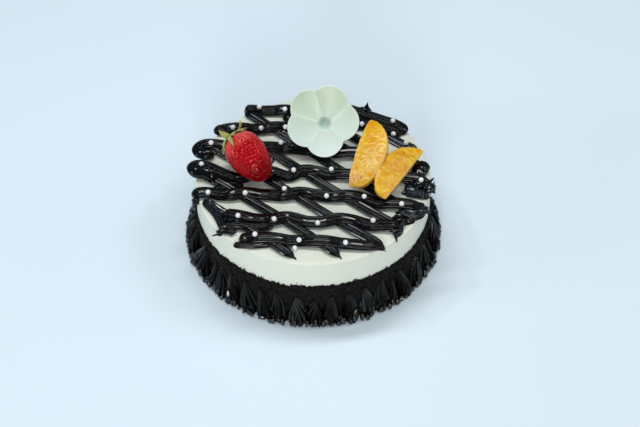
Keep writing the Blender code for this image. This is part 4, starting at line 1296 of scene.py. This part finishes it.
class CAKE_OT_leaves(bpy.types.Operator):
    """Grow the strawberry's crown of thin, wavy, pointed leaves"""

    bl_idname = "cake.leaves"
    bl_label = "Strawberry leaves"

    def execute(self, context):
        axis, side, up = berry_frame()
        crown = np.array(BERRY_CROWN)
        heap = Heap()
        reach = []
        for n, sepal in enumerate(SEPALS):
            rings = self.sepal(n, *sepal)
            heap.add(*tube(np.array(rings)))
            for t in np.linspace(0, 1, LEAF_STEPS):
                reach += [max(t, abs(k) * 0.45) for k in LEAF_SPREAD] * 2
            reach += [0.0, 1.0]
        disc = []
        wheel = circle(CALYX_COLUMNS)
        spots = np.cos(wheel)[:, None] * side + np.sin(wheel)[:, None] * up
        for away, down in CALYX:
            disc.append(crown + spots * away * MM + axis * down * MM)
        heap.add(*tube(np.array(disc)))
        reach += [0.1] * (len(CALYX) * CALYX_COLUMNS + 2)
        leaves = heap.piece("leaf_crown", [leaf_finish(shade("leaf"), shade("leaf_tip"))])
        paint(leaves, "reach", reach)
        dress(leaves, "strawberry_leaves")
        return {"FINISHED"}

    def sepal(self, n, turn, share, half_width, stand):
        """The rings of one leaf, its upper face and then its lower one in each."""
        axis, side, up = berry_frame()
        angle = math.radians(turn)
        outward = side * math.cos(angle) + up * math.sin(angle)
        across = np.cross(axis, outward)
        run = catmull(np.array(SEPAL_LYING) * (1 - stand) + np.array(SEPAL_STANDING) * stand, 161)
        run = run[np.linspace(0, min(160, int(120 * share)), LEAF_STEPS).astype(int)]
        tangent = unit(np.gradient(run, axis=0))
        rings = []
        for i, ((away, down), (ta, td)) in enumerate(zip(run, tangent)):
            t = i / (LEAF_STEPS - 1)
            width = max(half_width * (0.62 + 1.5 * t - 2.05 * t**2), 0.08) * MM
            face = outward * td - axis * ta
            middle = np.array(BERRY_CROWN) + outward * away * MM + axis * (down - 0.17 * (n % 3)) * MM
            ring = []
            for sign in (1, -1):
                for k in LEAF_SPREAD[:: -sign]:
                    fold = 0.35 * abs(k) - 0.25
                    wave = 0.22 * math.sin(7 * t + 2.1 * n) * k * abs(k)
                    thick = 0.22 * (1 - 0.75 * abs(k) ** 2) * sign
                    ring.append(middle + across * k * width - face * (fold - wave - thick + 0.2) * MM)
            rings.append(ring)
        return rings


class CAKE_OT_mandarins(bpy.types.Operator):
    """Lay the mandarin segments: juicy flesh in a thin skin with threads of pith"""

    bl_idname = "cake.mandarins"
    bl_label = "Mandarin segments"

    def execute(self, context):
        finish = mandarin_finish(shade("mandarin"), shade("mandarin_deep"), shade("pith"))
        for n, (name, form) in enumerate(MANDARINS.items()):
            points, faces, pith, worn = self.segment(n, *form)
            segment = piece(name + "_segment", points, faces, [finish])
            paint(segment, "pith", np.append(pith, (0.6, 0.6)))
            paint(segment, "worn", np.append(worn, (0.5, 0.5)))
            dress(segment, name)
        return {"FINISHED"}

    def segment(self, n, start, end, swing, bow, tilt, powers):
        """Points and faces of a segment, with how pithy and how worn each point is."""
        start, end = Vector(start) * MM, Vector(end) * MM
        line = (end - start).normalized()
        flat = line.cross(Vector((0.0, 0.0, 1.0))).normalized()
        out = Matrix.Rotation(math.radians(tilt), 3, line) @ flat
        up = np.array(out.cross(line))
        out, along = np.array(out), np.array(line)
        section = catmull(SEGMENT_SECTION, 132)
        section = np.vstack([section, np.linspace(section[-1], section[0], 6)[1:-1]])
        back = np.exp(-(((section[:, 0] - 0.95) / 0.035) ** 2)) * (section[:, 1] > 0)
        edges = back + np.exp(-((section[:, 0] / 0.05) ** 2))
        rings = []
        pith = []
        for t in 0.5 - 0.5 * np.cos(np.linspace(0.05, math.pi - 0.05, 210)):
            bulge = math.sin(math.pi * t) ** (powers[0] * (1 - t) + powers[1] * t)
            across = (swing + bow) * section[:, 0] - bow
            ring = np.array(start + line * (end - start).length * t) + out * (across * bulge * MM)[:, None]
            rings.append(ring + up * (SEGMENT_TALL * bulge * section[:, 1])[:, None])
            ends = math.exp(-((t / 0.025) ** 2)) + math.exp(-(((1 - t) / 0.02) ** 2))
            pith.append(np.clip(edges * 0.6 + ends * 0.15, 0.0, 0.8))
        rings = np.array(rings)
        points = rings.reshape(-1, 3)
        away = points - (np.array((start + end) / 2) + out * 0.4 * swing * MM)
        away -= np.outer(away @ along, along) * 0.8
        away = unit(away)
        local = np.column_stack([points @ along, points @ out, points @ up])
        slant = local @ np.array(((0.95, 0.3, 0.0), (-0.3, 0.95, 0.0), (0.0, 0.0, 1.0)))
        sacs = rough_noise(slant * (1.0, 0.9, 1.0), 2.4 * MM, 2, 4.0 + n)
        slow = smooth_noise(local, 7 * MM, 7.0 + n)
        wrinkles = 1 - 2.4 * np.abs(smooth_noise(slant * (1.0, 0.28, 1.0), 2.6 * MM, 11.0 + n))
        worn = np.clip(1.15 - 1.5 * np.linspace(0, 1, len(rings)), 0.0, 1.0)
        if n == 1:
            worn = 0.5 * np.sin(np.linspace(0, math.pi, len(rings)))
        worn = np.clip(np.repeat(worn, len(section)), 0.15, 1.0)
        thread = np.clip(wrinkles, 0.0, 1.0) ** 3 * worn
        relief = 0.24 * sacs + 0.35 * slow + 0.1 * wrinkles * worn**3 - 0.22
        points = points + away * (relief * MM)[:, None]
        points[:, 2] = np.maximum(points[:, 2], CAKE_HEIGHT + 0.4 * MM)
        middles = (rings[0].mean(axis=0), rings[-1].mean(axis=0))
        points, faces = tube(points.reshape(rings.shape), middles)
        return points, faces, np.clip(np.concatenate(pith) + 0.3 * thread, 0.0, 0.85), worn**2


class CAKE_OT_stage(bpy.types.Operator):
    """Set the pale floor, the soft lights and the camera"""

    bl_idname = "cake.stage"
    bl_label = "Stage"

    def execute(self, context):
        scene = context.scene
        corners = np.array(((-1, -1, 0), (1, -1, 0), (1, 1, 0), (-1, 1, 0))) * FLOOR_HALF
        floor = piece("floor", corners, [(0, 1, 2, 3)], [floor_finish(shade("table"))])
        for name, place, size, power, colour in LIGHTS:
            data = bpy.data.lights.new(name, "AREA")
            data.shape = "RECTANGLE"
            data.size, data.size_y = size
            data.energy = power
            data.color = colour
            self.hang(scene, name, data, place, LIGHT_AIM - Vector(place))
        world = bpy.data.worlds.new("studio")
        scene.world = world
        world.use_nodes = True
        background = world.node_tree.nodes["Background"]
        background.inputs["Color"].default_value = (0.93, 0.97, 1.0, 1.0)
        background.inputs["Strength"].default_value = 0.17
        camera = bpy.data.cameras.new("camera")
        camera.lens = CAMERA_LENS
        camera.sensor_width = 36.0
        camera.clip_start = 0.01
        level = math.cos(CAMERA_PITCH)
        heading = (math.sin(CAMERA_YAW) * level, math.cos(CAMERA_YAW) * level, -math.sin(CAMERA_PITCH))
        scene.camera = self.hang(scene, "camera", camera, CAMERA_PLACE, Vector(heading))
        scene.view_settings.view_transform = "Standard"
        return {"FINISHED"}

    def hang(self, scene, name, data, place, heading):
        """Puts a light or a camera in its place, turned to its heading."""
        holder = bpy.data.objects.new(name, data)
        holder.location = place
        holder.rotation_mode = "QUATERNION"
        holder.rotation_quaternion = heading.to_track_quat("-Z", "Y")
        scene.collection.objects.link(holder)
        return holder


class CAKE_PT_panel(bpy.types.Panel):
    """Lists the settings and the pieces"""

    bl_idname = "CAKE_PT_panel"
    bl_label = "Black forest cake"
    bl_space_type = "VIEW_3D"
    bl_region_type = "UI"
    bl_category = "Cake"

    def draw(self, context):
        layout = self.layout
        for group in (context.scene.cake_sizes, context.scene.cake_finish):
            box = layout.box()
            for name in group.__annotations__:
                box.prop(group, name)
        for operator in OPERATORS:
            layout.operator(operator.bl_idname)


OPERATORS = (
    CAKE_OT_cream,
    CAKE_OT_crumbs,
    CAKE_OT_shells,
    CAKE_OT_lattice,
    CAKE_OT_pearls,
    CAKE_OT_flower,
    CAKE_OT_strawberry,
    CAKE_OT_leaves,
    CAKE_OT_mandarins,
    CAKE_OT_stage,
)
CLASSES = (CakeSizes, CakeFinish, *OPERATORS, CAKE_PT_panel)


def register():
    for made in CLASSES:
        bpy.utils.register_class(made)
    bpy.types.Scene.cake_sizes = PointerProperty(type=CakeSizes)
    bpy.types.Scene.cake_finish = PointerProperty(type=CakeFinish)


def unregister():
    del bpy.types.Scene.cake_finish
    del bpy.types.Scene.cake_sizes
    for made in reversed(CLASSES):
        bpy.utils.unregister_class(made)


def main():
    register()
    bpy.ops.cake.cream()
    bpy.ops.cake.crumbs()
    bpy.ops.cake.shells()
    bpy.ops.cake.lattice()
    bpy.ops.cake.pearls()
    bpy.ops.cake.flower()
    bpy.ops.cake.strawberry()
    bpy.ops.cake.leaves()
    bpy.ops.cake.mandarins()
    bpy.ops.cake.stage()


if __name__ == "__main__":
    main()
